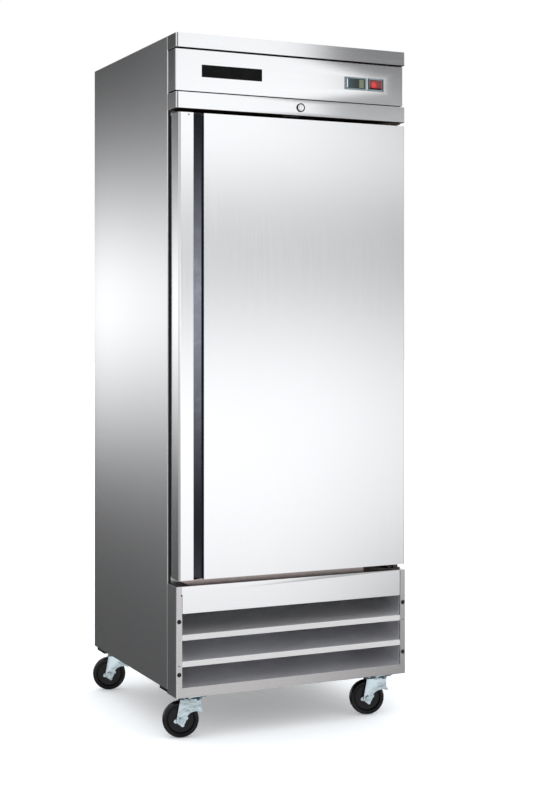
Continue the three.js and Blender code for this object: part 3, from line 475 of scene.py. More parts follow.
# The under colours are painted shade on faces that look down.
steel_upright = stainless("stainless_upright_grain", UPRIGHT, under=(0.16, 0.125, 0.115))
steel_level = stainless("stainless_level_grain", LEVEL, dust_amount=0.03, under=(0.02, 0.014, 0.012))
steel_top = stainless("stainless_top_sheet", LEVEL, roughness=0.24, dust_amount=0.2)
steel_side = stainless("stainless_side_sheet", UPRIGHT, roughness=0.20)
steel_blade = stainless("stainless_louvre", LEVEL, roughness=0.54, tint=(0.92, 0.92, 0.95), dust_amount=0.0)
brighten_lip(steel_blade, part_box("grille_louvres")[0].y + LIP_RADIUS)
# The cabinet face is darkened to a brown-grey: painted shade for the deep gaps round the door.
steel_face = stainless(
    "stainless_cabinet_face", LEVEL, roughness=0.20, tint=(0.46, 0.40, 0.38), dust_amount=0.0
)
steel_trim = stainless("stainless_trim", LEVEL, roughness=0.20, tint=(0.58, 0.565, 0.565), dust_amount=0.0)
steel_dull = stainless("stainless_dull", LEVEL, roughness=0.34, tint=(0.70, 0.71, 0.72))
# Nearly black steel for the hinge brackets paints the shade in the gaps over and under the door.
hinge_shade_steel = stainless("hinge_steel_shade_dark", LEVEL, roughness=0.30, tint=(0.085, 0.072, 0.068), dust_amount=0.0)
liner_sheet = stainless("aluminium_liner", ROLLED, roughness=0.33, tint=(0.86, 0.87, 0.88))
fin_stock = stainless("fin_aluminium", UPRIGHT, roughness=0.30, tint=(0.80, 0.81, 0.82), smear=0.1)
BLUE_ZINC = (0.58, 0.68, 0.725)
zinc = stainless(
    "bright_zinc", DENTED, roughness=0.15, tint=BLUE_ZINC, smear=0.05, dust_amount=0.0, depth=0.0012
)
chrome = stainless("polished_chrome", POLISHED, roughness=0.10, tint=(0.86, 0.86, 0.87))
SPANGLES_PER_METRE = 70.0


def galvanised_sheet():
    """Zinc-dipped sheet with faint crystal patches of slightly different grey and gloss."""
    material, tree, shader = start_finish("galvanised_sheet", metallic=0.9)
    crystals = add_node(tree, "ShaderNodeTexVoronoi", {"Vector": place(tree), "Scale": SPANGLES_PER_METRE})
    grey = add_node(tree, "ShaderNodeRGBToBW", {0: crystals.outputs["Color"]}).outputs[0]
    color = mix_color(tree, map_range(tree, grey, 0.2, 0.8), (0.56, 0.58, 0.60, 1), (0.64, 0.66, 0.68, 1))
    dust = use_effect(tree, dust_and_underside_shade, Amount=0.6)["Mask"]
    tree.links.new(mix_color(tree, dust, color, (0.36, 0.34, 0.31, 1)), shader.inputs["Base Color"])
    tree.links.new(map_range(tree, grey, 0.0, 1.0, 0.41, 0.51), shader.inputs["Roughness"])
    return material


galvanised = galvanised_sheet()
print("sheet finishes done")

# %% [markdown]
# ## Plastics, rubber, enamel and copper
# Moulded pieces differ mostly in colour, gloss and how coarse their grain is, so one function
# makes them all. Handling leaves slightly glossier patches, which the wear mask brings in.


# %% Moulded and painted finishes
def moulded_finish(
    name, color, roughness, grain=1500.0, depth=0.00003, worn=0.12, dust=0.15, metallic=0.0, **fixed
):
    material, tree, shader = start_finish(name, metallic=metallic, **fixed)
    surface = use_effect(tree, moulded, Grain_Size=grain)
    settled = use_effect(tree, dust_and_underside_shade, Amount=dust)["Mask"]
    lighter = tuple(min(1.0, c * 1.25 + 0.004) for c in color)
    varied = mix_color(tree, surface["Wear"], (*color, 1), (*lighter, 1))
    tree.links.new(mix_color(tree, settled, varied, (0.42, 0.40, 0.37, 1)), shader.inputs["Base Color"])
    rough = map_range(tree, surface["Wear"], 0.0, 1.0, roughness, roughness - worn)
    tree.links.new(rough, shader.inputs["Roughness"])
    add_bump(tree, shader, surface["Height"], depth)
    return material


black_plastic = moulded_finish("black_moulding", (0.012, 0.012, 0.013), 0.42)
plate_black = moulded_finish(
    "name_plate_black", (0.001, 0.001, 0.001), 0.34, worn=0.05, dust=0.0, Specular_IOR_Level=0.12
)
rubber = moulded_finish(
    "tread_rubber", (0.002, 0.002, 0.003), 0.30, grain=700.0, dust=0.0, Specular_IOR_Level=0.3
)
seal_rubber = moulded_finish("gasket_rubber", (0.012, 0.012, 0.012), 0.55, grain=900.0)
CHANNEL_GREY = (0.155, 0.16, 0.19)
channel_grey = moulded_finish(
    "grip_channel_grey", CHANNEL_GREY, 0.10, grain=400.0, depth=0.000002, metallic=1.0, worn=0.02, dust=0.0
)
enamel = moulded_finish("black_enamel", (0.014, 0.014, 0.015), 0.35, grain=90.0, depth=0.0002, dust=0.5)
wire_coat = moulded_finish("white_coated_wire", (0.80, 0.81, 0.81), 0.35, grain=400.0, dust=0.05)
foam = moulded_finish("insulation_foam", (0.78, 0.68, 0.40), 0.9, grain=260.0, depth=0.0006)
copper = moulded_finish("copper_tube", (0.72, 0.33, 0.18), 0.30, grain=60.0, metallic=1.0, dust=0.1)
# Near black, used as painted shade in cross recesses, small holes and rings under screw heads, and for the small
# door rivet.
dark_slot = moulded_finish("dark_slot", (0.006, 0.006, 0.006), 0.7)
rim_plastic = moulded_finish("blue_grey_bezel", (0.16, 0.20, 0.225), 0.30, dust=0.0)
lock_ring = moulded_finish(
    "dark_lock_ring", (0.045, 0.043, 0.045), 0.25, grain=60.0, metallic=1.0, dust=0.0
)
print(len(bpy.data.materials), "materials so far")

# %% [markdown]
# ## Red rocker, display and lamp
# A rocker lit from inside glows most at its middle, so its glow is a soft spot in its own
# space. The display is a dark sheet of glass over a black-green ground with a paler patch.


# %% Glowing and glassy finishes
def rocker_red(centre):
    """Red plastic lit from inside, brightest round a centre."""
    material, tree, shader = start_finish("lit_red_rocker", Coat_Weight=0.6)
    values = {0: place(tree), 1: centre}
    away = add_node(tree, "ShaderNodeVectorMath", values, operation="DISTANCE").outputs["Value"]
    glow = map_range(tree, away, 0.002, 0.013, 1.0, 0.0, smooth=True)
    ribs = use_effect(tree, moulded, Grain_Size=900.0)
    plastic = mix_color(tree, glow, (0.16, 0.002, 0.003, 1), (0.62, 0.006, 0.006, 1))
    light = mix_color(tree, glow, (0.0, 0.0, 0.0, 1), (1.0, 0.03, 0.02, 1))
    tree.links.new(plastic, shader.inputs["Base Color"])
    tree.links.new(light, shader.inputs["Emission Color"])
    shader.inputs["Emission Strength"].default_value = 0.16
    tree.links.new(map_range(tree, ribs["Wear"], 0.0, 1.0, 0.22, 0.15), shader.inputs["Roughness"])
    return material


def display_glass(low, high):
    """Dark glass whose ground is greenest at the left end of the display, low to high along X."""
    material, tree, shader = start_finish("display_glass", Coat_Weight=0.5)
    across = add_node(tree, "ShaderNodeSeparateXYZ", {0: place(tree)}).outputs[0]
    share = map_range(tree, across, low, high)
    stops = [
        (0.00, srgb(20, 66, 72)),
        (0.25, srgb(12, 48, 54)),
        (0.50, srgb(4, 22, 24)),
        (0.66, srgb(2, 8, 8)),
        (1.00, srgb(24, 40, 40)),
    ]
    smudge = noise(tree, place(tree), 60.0, 3.0)
    tree.links.new(ramp(tree, share, stops, "LINEAR"), shader.inputs["Base Color"])
    tree.links.new(map_range(tree, smudge, 0.3, 0.7, 0.08, 0.16), shader.inputs["Roughness"])
    return material


lcd_olive = moulded_finish("display_patch_olive", (0.13, 0.155, 0.095), 0.35, dust=0.0)
# A pale colour for strips that paint highlights on the display and frame edges.
pale_highlight = moulded_finish("pale_highlight_strip", (0.66, 0.72, 0.74), 0.25, dust=0.0)
lamp_cover = moulded_finish("lamp_cover_white", (0.86, 0.87, 0.86), 0.25, grain=300.0, dust=0.0)
print("lit finishes done")

# %% [markdown]
# ## Making pieces
# Every new piece is finished the same way: merge doubles, turn the faces outward, store the
# mesh, smooth it except at sharp edges, give it its finish and hang it on its body. A folded
# sheet corner is never a knife edge, so solid pieces are also rebuilt with small round edges.

# %% Piece helpers
SHARP = math.radians(32)
FLAT = math.radians(0.6)
SAME_POINT = 0.00001


def new_piece(name, shape, material, body, stands_for=(), bevel=0.0, segments=2):
    bmesh.ops.remove_doubles(shape, verts=shape.verts, dist=SAME_POINT)
    bmesh.ops.recalc_face_normals(shape, faces=shape.faces)
    data = bpy.data.meshes.new(name)
    shape.to_mesh(data)
    shape.free()
    data.materials.append(material)
    data.shade_smooth()
    data.set_sharp_from_angle(angle=SHARP)
    piece = bpy.data.objects.new(name, data)
    scene.collection.objects.link(piece)
    if bevel:
        rounding = piece.modifiers.new("round_edges", "BEVEL")
        rounding.width = bevel
        rounding.segments = segments
        rounding.limit_method = "ANGLE"
        rounding.angle_limit = SHARP
        rounding.harden_normals = True
    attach(piece, body)
    if stands_for:
        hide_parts(*stands_for)
    return piece


def solid_copy(node):
    """A solid piece's mesh with its triangles joined into whole flat faces."""
    shape = bmesh.new()
    shape.from_mesh(nodes[node].data)
    bmesh.ops.remove_doubles(shape, verts=shape.verts, dist=SAME_POINT)
    bmesh.ops.dissolve_limit(
        shape, angle_limit=FLAT, verts=shape.verts, edges=shape.edges, use_dissolve_boundaries=False
    )
    return shape


slot_of = {s["node"]: s["material_slot"] for s in frame["record"]["subparts"]}
body_of = {n: b for b, names in frame["record"]["behaviour"]["bodies"].items() for n in names}


def rounded_copy(node, material, bevel, segments=2):
    """A solid piece rebuilt with small round edges, which takes the solid piece's place."""
    shape, body, slot = solid_copy(node), body_of[node], slot_of[node]
    return new_piece(node + "_finished", shape, material, body, (node,), bevel, segments)


def keep(node, material):
    """A solid piece that stays as it is, with its finish."""
    nodes[node].data.materials.clear()
    nodes[node].data.materials.append(material)


def centre_of(node):
    low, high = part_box(node)
    return (low + high) / 2


def spun(profile, steps=32):
    """A (radius, height) profile turned round Z into a closed shape."""
    shape = bmesh.new()
    points = [shape.verts.new((r, 0, z)) for r, z in profile]
    edges = [shape.edges.new(pair) for pair in zip(points, points[1:])]
    bmesh.ops.spin(
        shape,
        geom=points + edges,
        cent=(0, 0, 0),
        axis=(0, 0, 1),
        angle=math.tau,
        steps=steps,
        use_merge=True,
    )
    bmesh.ops.remove_doubles(shape, verts=shape.verts, dist=0.000001)
    return shape


def block(size, centre):
    """A box of a size round a centre."""
    shape = bmesh.new()
    bmesh.ops.create_cube(shape, size=1.0)
    bmesh.ops.scale(shape, vec=size, verts=shape.verts)
    bmesh.ops.translate(shape, vec=centre, verts=shape.verts)
    return shape


def moved(shape, matrix):
    bmesh.ops.transform(shape, matrix=matrix, verts=shape.verts)
    return shape


def gather(shapes):
    """Several shapes as one, for a piece that repeats."""
    whole = bmesh.new()
    for shape in shapes:
        data = bpy.data.meshes.new("part_of_piece")
        shape.to_mesh(data)
        shape.free()
        whole.from_mesh(data)
        bpy.data.meshes.remove(data)
    return whole


def along(axis, at):
    """The matrix that turns Z to an axis and moves the origin to a point."""
    turn = Vector((0, 0, 1)).rotation_difference(Vector(axis)).to_matrix().to_4x4()
    return Matrix.Translation(Vector(at)) @ turn


print("helpers ready")

# %% [markdown]
# ## Cabinet shell
# Side sheets, top, back and the face behind the door keep the solid model's folds. A bend of a
# millimetre sheet has a radius near its thickness, and that thin bright line along an edge is
# what makes it read as folded metal, so each shell piece gets rounded edges.

# %% Cabinet shell
for node in ("side_panel_left", "side_panel_right"):
    rounded_copy(node, steel_side, 0.0009)
rounded_copy("top_panel", steel_top, 0.0004)
rounded_copy("face_frame", steel_face, 0.0004)
for node in ("rear_panel", "rear_guard"):
    rounded_copy(node, galvanised, 0.0003, 1)
keep("foam_insulation", foam)
keep("door_foam", foam)
rounded_copy("inner_liner", liner_sheet, 0.0008)
shell_low, shell_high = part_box("side_panel_left")
face_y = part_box("face_frame")[0].y
gap_low, gap_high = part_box("grille_frame")[1].z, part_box("header_lower_rail")[0].z
FOIL = 0.0004
# A thin black strip on the cabinet face by the door's latch edge paints the shade in the deep gap there.
STRIP_WIDTH, STRIP_INSET, STRIP_SHORT = 0.0080, 0.0062, 0.002
gap_shade_strip = block(
    (STRIP_WIDTH, FOIL, gap_high - gap_low - STRIP_SHORT),
    (shell_low.x + STRIP_INSET, face_y - FOIL / 2, (gap_low + gap_high) / 2),
)
new_piece("latch_gap_shade_strip", gap_shade_strip, seal_rubber, "cabinet", bevel=0.0001)
foam_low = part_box("foam_insulation")[0]
CEILING_SHEET = 0.0008
CEILING_SHORT_X, CEILING_SHORT_Y = 0.012, 0.010
ceiling = block(
    (-2 * shell_low.x - CEILING_SHORT_X, shell_high.y - face_y - CEILING_SHORT_Y, CEILING_SHEET),
    (0.0, (face_y + shell_high.y) / 2, foam_low.z - CEILING_SHEET),
)
new_piece("compartment_ceiling", ceiling, galvanised, "cabinet", bevel=0.0002)
print("shell done")

# %% [markdown]
# ## Header
# Two folded rails with a recessed fascia between them. The name plate stays blank, black and
# with a thin raised border, and the controls sit in slim blue-grey frames.

# %% Header
for node in ("header_top_rail", "header_fascia", "header_lower_rail"):
    rounded_copy(node, steel_level, 0.0006)
rounded_copy("name_plate", plate_black, 0.0005, 3)
low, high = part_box("name_plate")
middle = (low + high) / 2
PLATE_EDGE = 0.0022
BORDER = 0.0005
inner = high - low - 2 * Vector((PLATE_EDGE, 0, PLATE_EDGE))
border_y = low.y - 0.0001
frame_bars = [
    block((inner.x, FOIL, BORDER), (middle.x, border_y, middle.z + up))
    for up in (-inner.z / 2, inner.z / 2)
]
frame_bars += [
    block((BORDER, FOIL, inner.z), (middle.x + across, border_y, middle.z))
    for across in (-inner.x / 2, inner.x / 2)
]
new_piece("name_plate_border", gather(frame_bars), plate_black, "cabinet")
rounded_copy("thermostat", rim_plastic, 0.0006)
rounded_copy("switch_housing", rim_plastic, 0.0006)
print("header done")

# %% [markdown]
# ## Display and rocker
# The display's glass lies in the thermostat's frame, over a pale line at the left, which is a painted
# highlight, and an olive patch at the right. The rocker keeps its two slanted faces and gets soft moulded edges.

# %% Display and rocker
low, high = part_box("thermostat")
GLASS_INSET = 0.0043
glass_low = Vector((low.x + GLASS_INSET, low.y, low.z + GLASS_INSET))
glass_high = Vector((high.x - GLASS_INSET, low.y, high.z - GLASS_INSET))
glass_size = glass_high - glass_low
middle = (glass_low + glass_high) / 2
GLASS = 0.0008
glass = block((glass_size.x, GLASS, glass_size.z), (middle.x, low.y + GLASS, middle.z))
glass_finish = display_glass(glass_low.x, glass_high.x)
new_piece("display_glass", glass, glass_finish, "cabinet", bevel=0.0003)


def on_glass(name, across, width, height, material):
    """A thin sheet on the display, placed and sized in shares of the glass."""
    size = (glass_size.x * width, FOIL, glass_size.z * height)
    sheet = block(size, (glass_low.x + glass_size.x * across, low.y + FOIL, middle.z))
    new_piece(name, sheet, material, "cabinet", bevel=0.0001)


on_glass("display_patch", 0.80, 0.24, 0.86, lcd_olive)
on_glass("display_edge_highlight", 0.05, 0.05, 0.90, pale_highlight)

rocker_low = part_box("rocker_switch")[0]
rocker_middle = centre_of("rocker_switch")
spot = (rocker_low.x + 0.013, rocker_low.y, rocker_middle.z - 0.002)
rounded_copy("rocker_switch", rocker_red(spot), 0.0008, 3)
well_low, well_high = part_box("switch_housing")
well_height = well_high.z - well_low.z
CHEEK, CHEEK_INSET = 0.0032, 0.0035
cheeks = [
    block((CHEEK, 0.0006, well_height - 0.004), (x, well_low.y - 0.0001, (well_low.z + well_high.z) / 2))
    for x in (well_low.x + CHEEK_INSET, well_high.x - CHEEK_INSET)
]
new_piece("switch_surround", gather(cheeks), black_plastic, "cabinet", bevel=0.0001)
# A pale strip in the gap between the two frames paints the highlights on their edges.
between = (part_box("thermostat")[1].x + well_low.x) / 2
divider = block((0.0024, 0.0008, well_height - 0.002), (between, well_low.y + 0.0006, rocker_middle.z))
new_piece("control_divider_highlight", divider, pale_highlight, "cabinet", bevel=0.0002)
print("rocker", tuple(round(v * 1000, 1) for v in rocker_middle))

# %% [markdown]
# ## Lock
# A lock face is a bright turned disc inside a dark bevelled rim, and both are spun from their
# profiles. The barrel is the solid piece with its slot, rounded so the edges catch light.

# %% Lock
low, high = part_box("lock_housing")
lock_centre = (low + high) / 2
rim_radius = (high.x - low.x) / 2
FACE_RADIUS = 0.0091
CYLINDER_HOLE = 0.0063
LOCK_SUNK = 0.0017
face_profile = [
    (CYLINDER_HOLE, 0.0000),
    (CYLINDER_HOLE, 0.0014),
    (CYLINDER_HOLE + 0.0005, 0.0018),
    (FACE_RADIUS - 0.0004, 0.0018),
    (FACE_RADIUS, 0.0014),
    (FACE_RADIUS, 0.0000),
    (CYLINDER_HOLE, 0.0000),
]
rim_profile = [
    (FACE_RADIUS, 0.0000),
    (FACE_RADIUS, 0.0012),
    (FACE_RADIUS + 0.0008, 0.0016),
    (rim_radius - 0.0012, 0.0021),
    (rim_radius - 0.0003, 0.0016),
    (rim_radius - 0.0001, 0.0008),
    (rim_radius - 0.0001, 0.0000),
    (FACE_RADIUS, 0.0000),
]
for name, profile, material in (("lock_face", face_profile, chrome), ("lock_rim", rim_profile, lock_ring)):
    seat = (lock_centre.x, low.y + LOCK_SUNK, lock_centre.z)
    turned = moved(spun(profile, 40), along((0, -1, 0), seat))
    new_piece(name, turned, material, "cabinet")
keep("lock_housing", lock_ring)
rounded_copy("lock_cylinder", chrome, 0.0004)
print("lock rim radius mm", round(rim_radius * 1000, 1))

# %% [markdown]
# ## Door
# The door skin is one sheet folded round foam, with a dark grip channel let into it. The thin
# magnetic seal on its back is a soft bellows, so it gets two ribs along each side. The hinge
# brackets are nearly black steel, which paints the shade in the gaps over and under the door.

# %% Door
rounded_copy("door_skin", steel_upright, 0.0007)
rounded_copy("door_handle_channel", channel_grey, 0.0006)
rounded_copy("door_liner", liner_sheet, 0.0006)
rounded_copy("door_gasket", seal_rubber, 0.0010)
for node in ("hinge_bracket_top", "hinge_bracket_bottom"):
    rounded_copy(node, hinge_shade_steel, 0.0005)
low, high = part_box("door_gasket")
RIB = 0.0016
ribs = []
for inset in (0.005, 0.012):
    x = (low.x + inset, high.x - inset)
    z = (low.z + inset, high.z - inset)
    y = high.y - 0.0004
    ribs += [block((RIB, RIB, z[1] - z[0]), (at, y, (z[0] + z[1]) / 2)) for at in x]
    ribs += [block((x[1] - x[0], RIB, RIB), ((x[0] + x[1]) / 2, y, at)) for at in z]
new_piece("gasket_ribs", gather(ribs), seal_rubber, "door", bevel=0.0005)
print("door done")

# %% [markdown]
# ## Grille
# The louvred front is a folded frame with three sloping blades behind it, held by pan-head
# screws with a cross recess. Every screw head is spun from one profile. A thin pad with the
# black rubber finish lies on the ledge where the free corner of the door closes, and paints the shade in that
# corner.

# %% Grille and screws
rounded_copy("grille_frame", steel_level, 0.0007)
rounded_copy("grille_louvres", steel_blade, 0.0003)


def pan_head(radius, at, axis):
    """A low domed screw head."""
    profile = [
        (0.0, radius * 0.42),
        (radius * 0.45, radius * 0.40),
        (radius * 0.80, radius * 0.29),
        (radius * 0.97, radius * 0.12),
        (radius, 0.0),
        (0.0, 0.0),
    ]
    return moved(spun(profile, 20), along(axis, at))


def cross_recess(radius, at, axis, turn):
    """A thin dark cross on the crown of a screw head, painting the shade inside its cross recess."""
    arms = [
        block((radius * 1.0, radius * 0.26, radius * 0.06), (0, 0, radius * 0.40)),
        block((radius * 0.26, radius * 1.0, radius * 0.06), (0, 0, radius * 0.40)),
    ]
    return moved(gather(arms), along(axis, at) @ Matrix.Rotation(turn, 4, "Z"))


def screws(name, places, radius, axis, material):
    """Cabinet screws of one kind, each with its cross turned another way."""
    heads = [pan_head(radius, at, axis) for at in places]
    new_piece(name, gather(heads), material, "cabinet")
    crosses = [cross_recess(radius, at, axis, 0.4 + 0.7 * i) for i, at in enumerate(places)]
    new_piece(name + "_recess_shade", gather(crosses), dark_slot, "cabinet")


low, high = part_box("grille_frame")
STILE, SILL = 0.0168, 0.0262
STILE_INSET, SILL_INSET = 0.0028, 0.0010
stile_width, sill_height = STILE - STILE_INSET, SILL - SILL_INSET
trim = [
    block((stile_width, FOIL, high.z - low.z - 2 * SILL_INSET), (x, low.y, (low.z + high.z) / 2))
    for x in (low.x + STILE_INSET + stile_width / 2, high.x - STILE_INSET - stile_width / 2)
]
sill_middle = (0.0, low.y, low.z + SILL_INSET + sill_height / 2)
trim.append(block((high.x - low.x - 2 * STILE, FOIL, sill_height), sill_middle))
new_piece("grille_surround", gather(trim), steel_trim, "cabinet", bevel=0.0002)
# A thin black pad on the ledge at the door's free corner paints the shade in that corner.
PAD_WIDTH, PAD_THICKNESS, PAD_INSET, PAD_SHORT = 0.042, 0.0008, 0.002, 0.003
pad_size = Vector((PAD_WIDTH, high.y - low.y - PAD_SHORT, PAD_THICKNESS))
pad_middle = (low.x + PAD_INSET + PAD_WIDTH / 2, (low.y + high.y) / 2, high.z + PAD_THICKNESS / 2)
corner_shade = block(pad_size, pad_middle)
new_piece("corner_shade_pad", corner_shade, seal_rubber, "cabinet", bevel=0.0002)
STILE_SCREW = 0.0085
SCREW_ROWS = (0.063, 0.206)
screw_places = [
    (x, low.y, low.z + up)
    for x in (low.x + STILE_SCREW, high.x - STILE_SCREW)
    for up in SCREW_ROWS
]
GRILLE_SCREW = 0.0052
screws("grille_screws", screw_places, GRILLE_SCREW, (0, -1, 0), lock_ring)


def disc(radius, height, at, axis):
    """A short cylinder that stands on a point."""
    return moved(spun([(0.0, 0.0), (radius, 0.0), (radius, height), (0.0, height)], 20), along(axis, at))


# Dark rings round the grille screws paint their shadows.
shadow_rings = [disc(GRILLE_SCREW + 0.0010, 0.0006, at, (0, -1, 0)) for at in screw_places]
new_piece("grille_screw_shadows", gather(shadow_rings), dark_slot, "cabinet")
# Dark discs paint the shade inside small holes in the grille frame.
holes = [
    (low.x + 0.0155, low.y, high.z - 0.0240, 0.0024),
    (low.x + 0.0085, low.y, low.z + 0.0860, 0.0018),
    (high.x - 0.0085, low.y, low.z + 0.1560, 0.0020),
]
dots = [disc(radius, 0.0003, (x, y, z), (0, -1, 0)) for x, y, z, radius in holes]
new_piece("grille_holes", gather(dots), dark_slot, "cabinet")
door_low, door_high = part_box("door_skin")
rivet = disc(0.0020, 0.0005, (door_low.x + 0.0290, door_low.y, door_high.z - 0.0060), (0, -1, 0))
new_piece("door_rivet", rivet, dark_slot, "door")
print("ledge pad", tuple(round(v * 1000, 1) for v in pad_size), "mm")
print("grille screws at", [tuple(round(v * 1000) for v in at) for at in screw_places])

# %% [markdown]
# ## Casters
# A swivel caster is a bolted top plate with a ball race, a pressed fork and a wheel. The fork
# keeps the solid model's side view. The wheel is spun from one profile: a round tread, a ridge,
# a sunk web and a hub, with a pressed four-armed cover plate on each side.

# %% Caster wheel
CORNERS = ("front_left", "front_right", "rear_left", "rear_right")
roll_axis = {j["child"]: Vector(j["axis"]) for j in frame["joints"] if j["name"].startswith("roll_")}
low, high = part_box("caster_wheel_front_left")
WHEEL_RADIUS = (high.z - low.z) / 2
HALF_TREAD = 0.016
BORE = 0.0053


def wheel_profile():
    """The wheel from its bore over one face, round the tread and back over the other face."""
    r, w = WHEEL_RADIUS, HALF_TREAD
    side = [
        (BORE, w + 0.0010),
        (0.0120, w + 0.0010),
        (0.0135, w - 0.0005),
        (0.0145, w - 0.0065),
        (r * 0.70, w - 0.0065),
        (r * 0.73, w - 0.0025),
        (r * 0.76, w - 0.0006),
        (r * 0.79, w - 0.0006),
        (r * 0.81, w - 0.0022),
        (r * 0.85, w - 0.0016),
        (r * 0.91, w - 0.0010),
        (r * 0.955, w - 0.0028),
        (r * 0.985, w - 0.0062),
        (r * 0.998, w - 0.0105),
    ]
    return side + [(r, 0.0)] + [(a, -b) for a, b in reversed(side)] + [side[0]]


HUB_COVER = 0.0205


def hub_cover(side):
    """A pressed disc with four rounded arms and a raised middle."""
    shape = bmesh.new()
    rim = bmesh.ops.create_circle(shape, cap_ends=True, segments=48, radius=HUB_COVER)["verts"]
    for vert in rim:
        lobe = math.cos(4 * math.atan2(vert.co.y, vert.co.x))
        bmesh.ops.scale(shape, vec=(0.74 + 0.26 * lobe,) * 3, verts=[vert])
    for thickness, depth in ((0.0010, 0.0006), (0.0032, 0.0010)):
        middle = [f for f in shape.faces if len(f.verts) > 8]
        bmesh.ops.inset_region(shape, faces=middle, thickness=thickness, depth=depth)
    bmesh.ops.solidify(shape, geom=shape.faces[:], thickness=0.0008)
    flip = 0.0 if side > 0 else math.pi
    offset = Matrix.Translation((0, 0, side * (HALF_TREAD - 0.0040)))
    return moved(shape, offset @ Matrix.Rotation(flip, 4, "X"))


for corner in CORNERS:
    node = "caster_wheel_" + corner
    body = body_of[node]
    stand = along(roll_axis[body], centre_of(node))
    wheel = moved(spun(wheel_profile(), 56), stand)
    new_piece("caster_wheel_tread_" + corner, wheel, rubber, body, (node,))
    covers = gather([hub_cover(1), hub_cover(-1)])
    new_piece("caster_hub_covers_" + corner, moved(covers, stand), zinc, body)
print("wheel radius mm", round(WHEEL_RADIUS * 1000, 1))

# %% [markdown]
# ## Caster forks, axles and plates
# The fork, axle and plate are the solid pieces with soft edges. Four hexagon bolts hold each
# plate to the base, and their heads hang under it beside the fork.

# %% Caster forks and plates
def hexagon(radius, height):
    """A six-sided head with its upper rim broken."""
    shape = bmesh.new()
    bmesh.ops.create_cone(
        shape, cap_ends=True, cap_tris=False, segments=6, radius1=radius, radius2=radius, depth=height
    )
    rim = [e for e in shape.edges if all(v.co.z > 0 for v in e.verts)]
    bmesh.ops.bevel(
        shape, geom=rim, offset=radius * 0.12, segments=1, profile=0.5, affect="EDGES", material=-1
    )
    return shape


BOLT_X, BOLT_Y = 0.0198, 0.0304
BOLT_RADIUS, BOLT_HEIGHT = 0.0062, 0.0046
BOLT_DROP = 0.0054
UPSIDE_DOWN = Matrix.Rotation(math.pi, 4, "X")
for corner in CORNERS:
    rounded_copy("caster_fork_" + corner, zinc, 0.0008)
    rounded_copy("caster_axle_" + corner, zinc, 0.0005)
    rounded_copy("caster_plate_" + corner, zinc, 0.0005)
    low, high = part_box("caster_plate_" + corner)
    middle = (low + high) / 2
    bolts = []
    for x in (-BOLT_X, BOLT_X):
        for y in (-BOLT_Y, BOLT_Y):
            at = Matrix.Translation((middle.x + x, middle.y + y, high.z - BOLT_DROP))
            bolts.append(moved(hexagon(BOLT_RADIUS, BOLT_HEIGHT), at @ UPSIDE_DOWN))
    new_piece("caster_bolts_" + corner, gather(bolts), zinc, "cabinet")
print("casters done")

# %% [markdown]
# ## Storage space
# Coated wire shelves rest on clips in slotted pilasters. The shelves and pilasters keep the
# solid shapes, whose square wires become nearly round when their edges are bevelled.

# %% Shelves and pilasters
for corner in CORNERS:
    rounded_copy("shelf_pilaster_" + corner, steel_dull, 0.0003, 1)
for number in (1, 2, 3):
    rounded_copy("wire_shelf_" + str(number), wire_coat, 0.0007)
print("storage done")

# %% [markdown]
# ## Evaporator and lamp
# The evaporator hangs under the roof of the storage space behind a bright cover. A small lamp
# sits in front of it, as a white moulded cover on a base plate.

# %% Evaporator and lamp
rounded_copy("evaporator_cover", liner_sheet, 0.0004)
rounded_copy("evaporator_coil", fin_stock, 0.0002, 1)
rounded_copy("evaporator_fan_motor", black_plastic, 0.0008)
rounded_copy("evaporator_fan", black_plastic, 0.0004)
low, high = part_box("evaporator_cover")
COVER_SCREW, COVER_SCREW_INSET = 0.0040, 0.02
cover_screws = [
    (x, low.y, z)
    for x in (low.x + COVER_SCREW_INSET, high.x - COVER_SCREW_INSET)
    for z in (low.z + COVER_SCREW_INSET, high.z - COVER_SCREW_INSET)
]
screws("evaporator_screws", cover_screws, COVER_SCREW, (0, -1, 0), chrome)
LAMP = Vector((0.150, 0.070, 0.030))
LAMP_SHEET, LAMP_LIP, LAMP_FORWARD = 0.002, 0.006, 0.02
LAMP_TAPER = (0.86, 0.78, 1.0)
liner_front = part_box("inner_liner")[0].y
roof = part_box("inner_liner")[1].z - 0.001
lamp_at = Vector((0.0, (liner_front + low.y) / 2 - LAMP_FORWARD, roof - 0.0015))
base = block((LAMP.x, LAMP.y, LAMP_SHEET), lamp_at)
new_piece("lamp_base", base, steel_dull, "cabinet", bevel=0.0008)
cover_at = lamp_at - Vector((0, 0, (LAMP.z + LAMP_SHEET) / 2))
diffuser = block((LAMP.x - 2 * LAMP_LIP, LAMP.y - 2 * LAMP_LIP, LAMP.z), cover_at)
bottom = [v for v in diffuser.verts if v.co.z < lamp_at.z - LAMP.z / 2]
bmesh.ops.scale(diffuser, vec=LAMP_TAPER, verts=bottom, space=Matrix.Translation(-lamp_at))
new_piece("lamp_cover", diffuser, lamp_cover, "cabinet", bevel=0.006, segments=4)
print("lamp under roof at mm", round(roof * 1000))

# %% [markdown]
# ## Condensing unit
# Under the storage space stand the compressor, the finned condenser and its fan. A hermetic
# compressor is two pressed cups welded together, so a raised weld seam runs round its shell.
# Copper tubes join it to the condenser and the drier, and a pan catches the melt water.

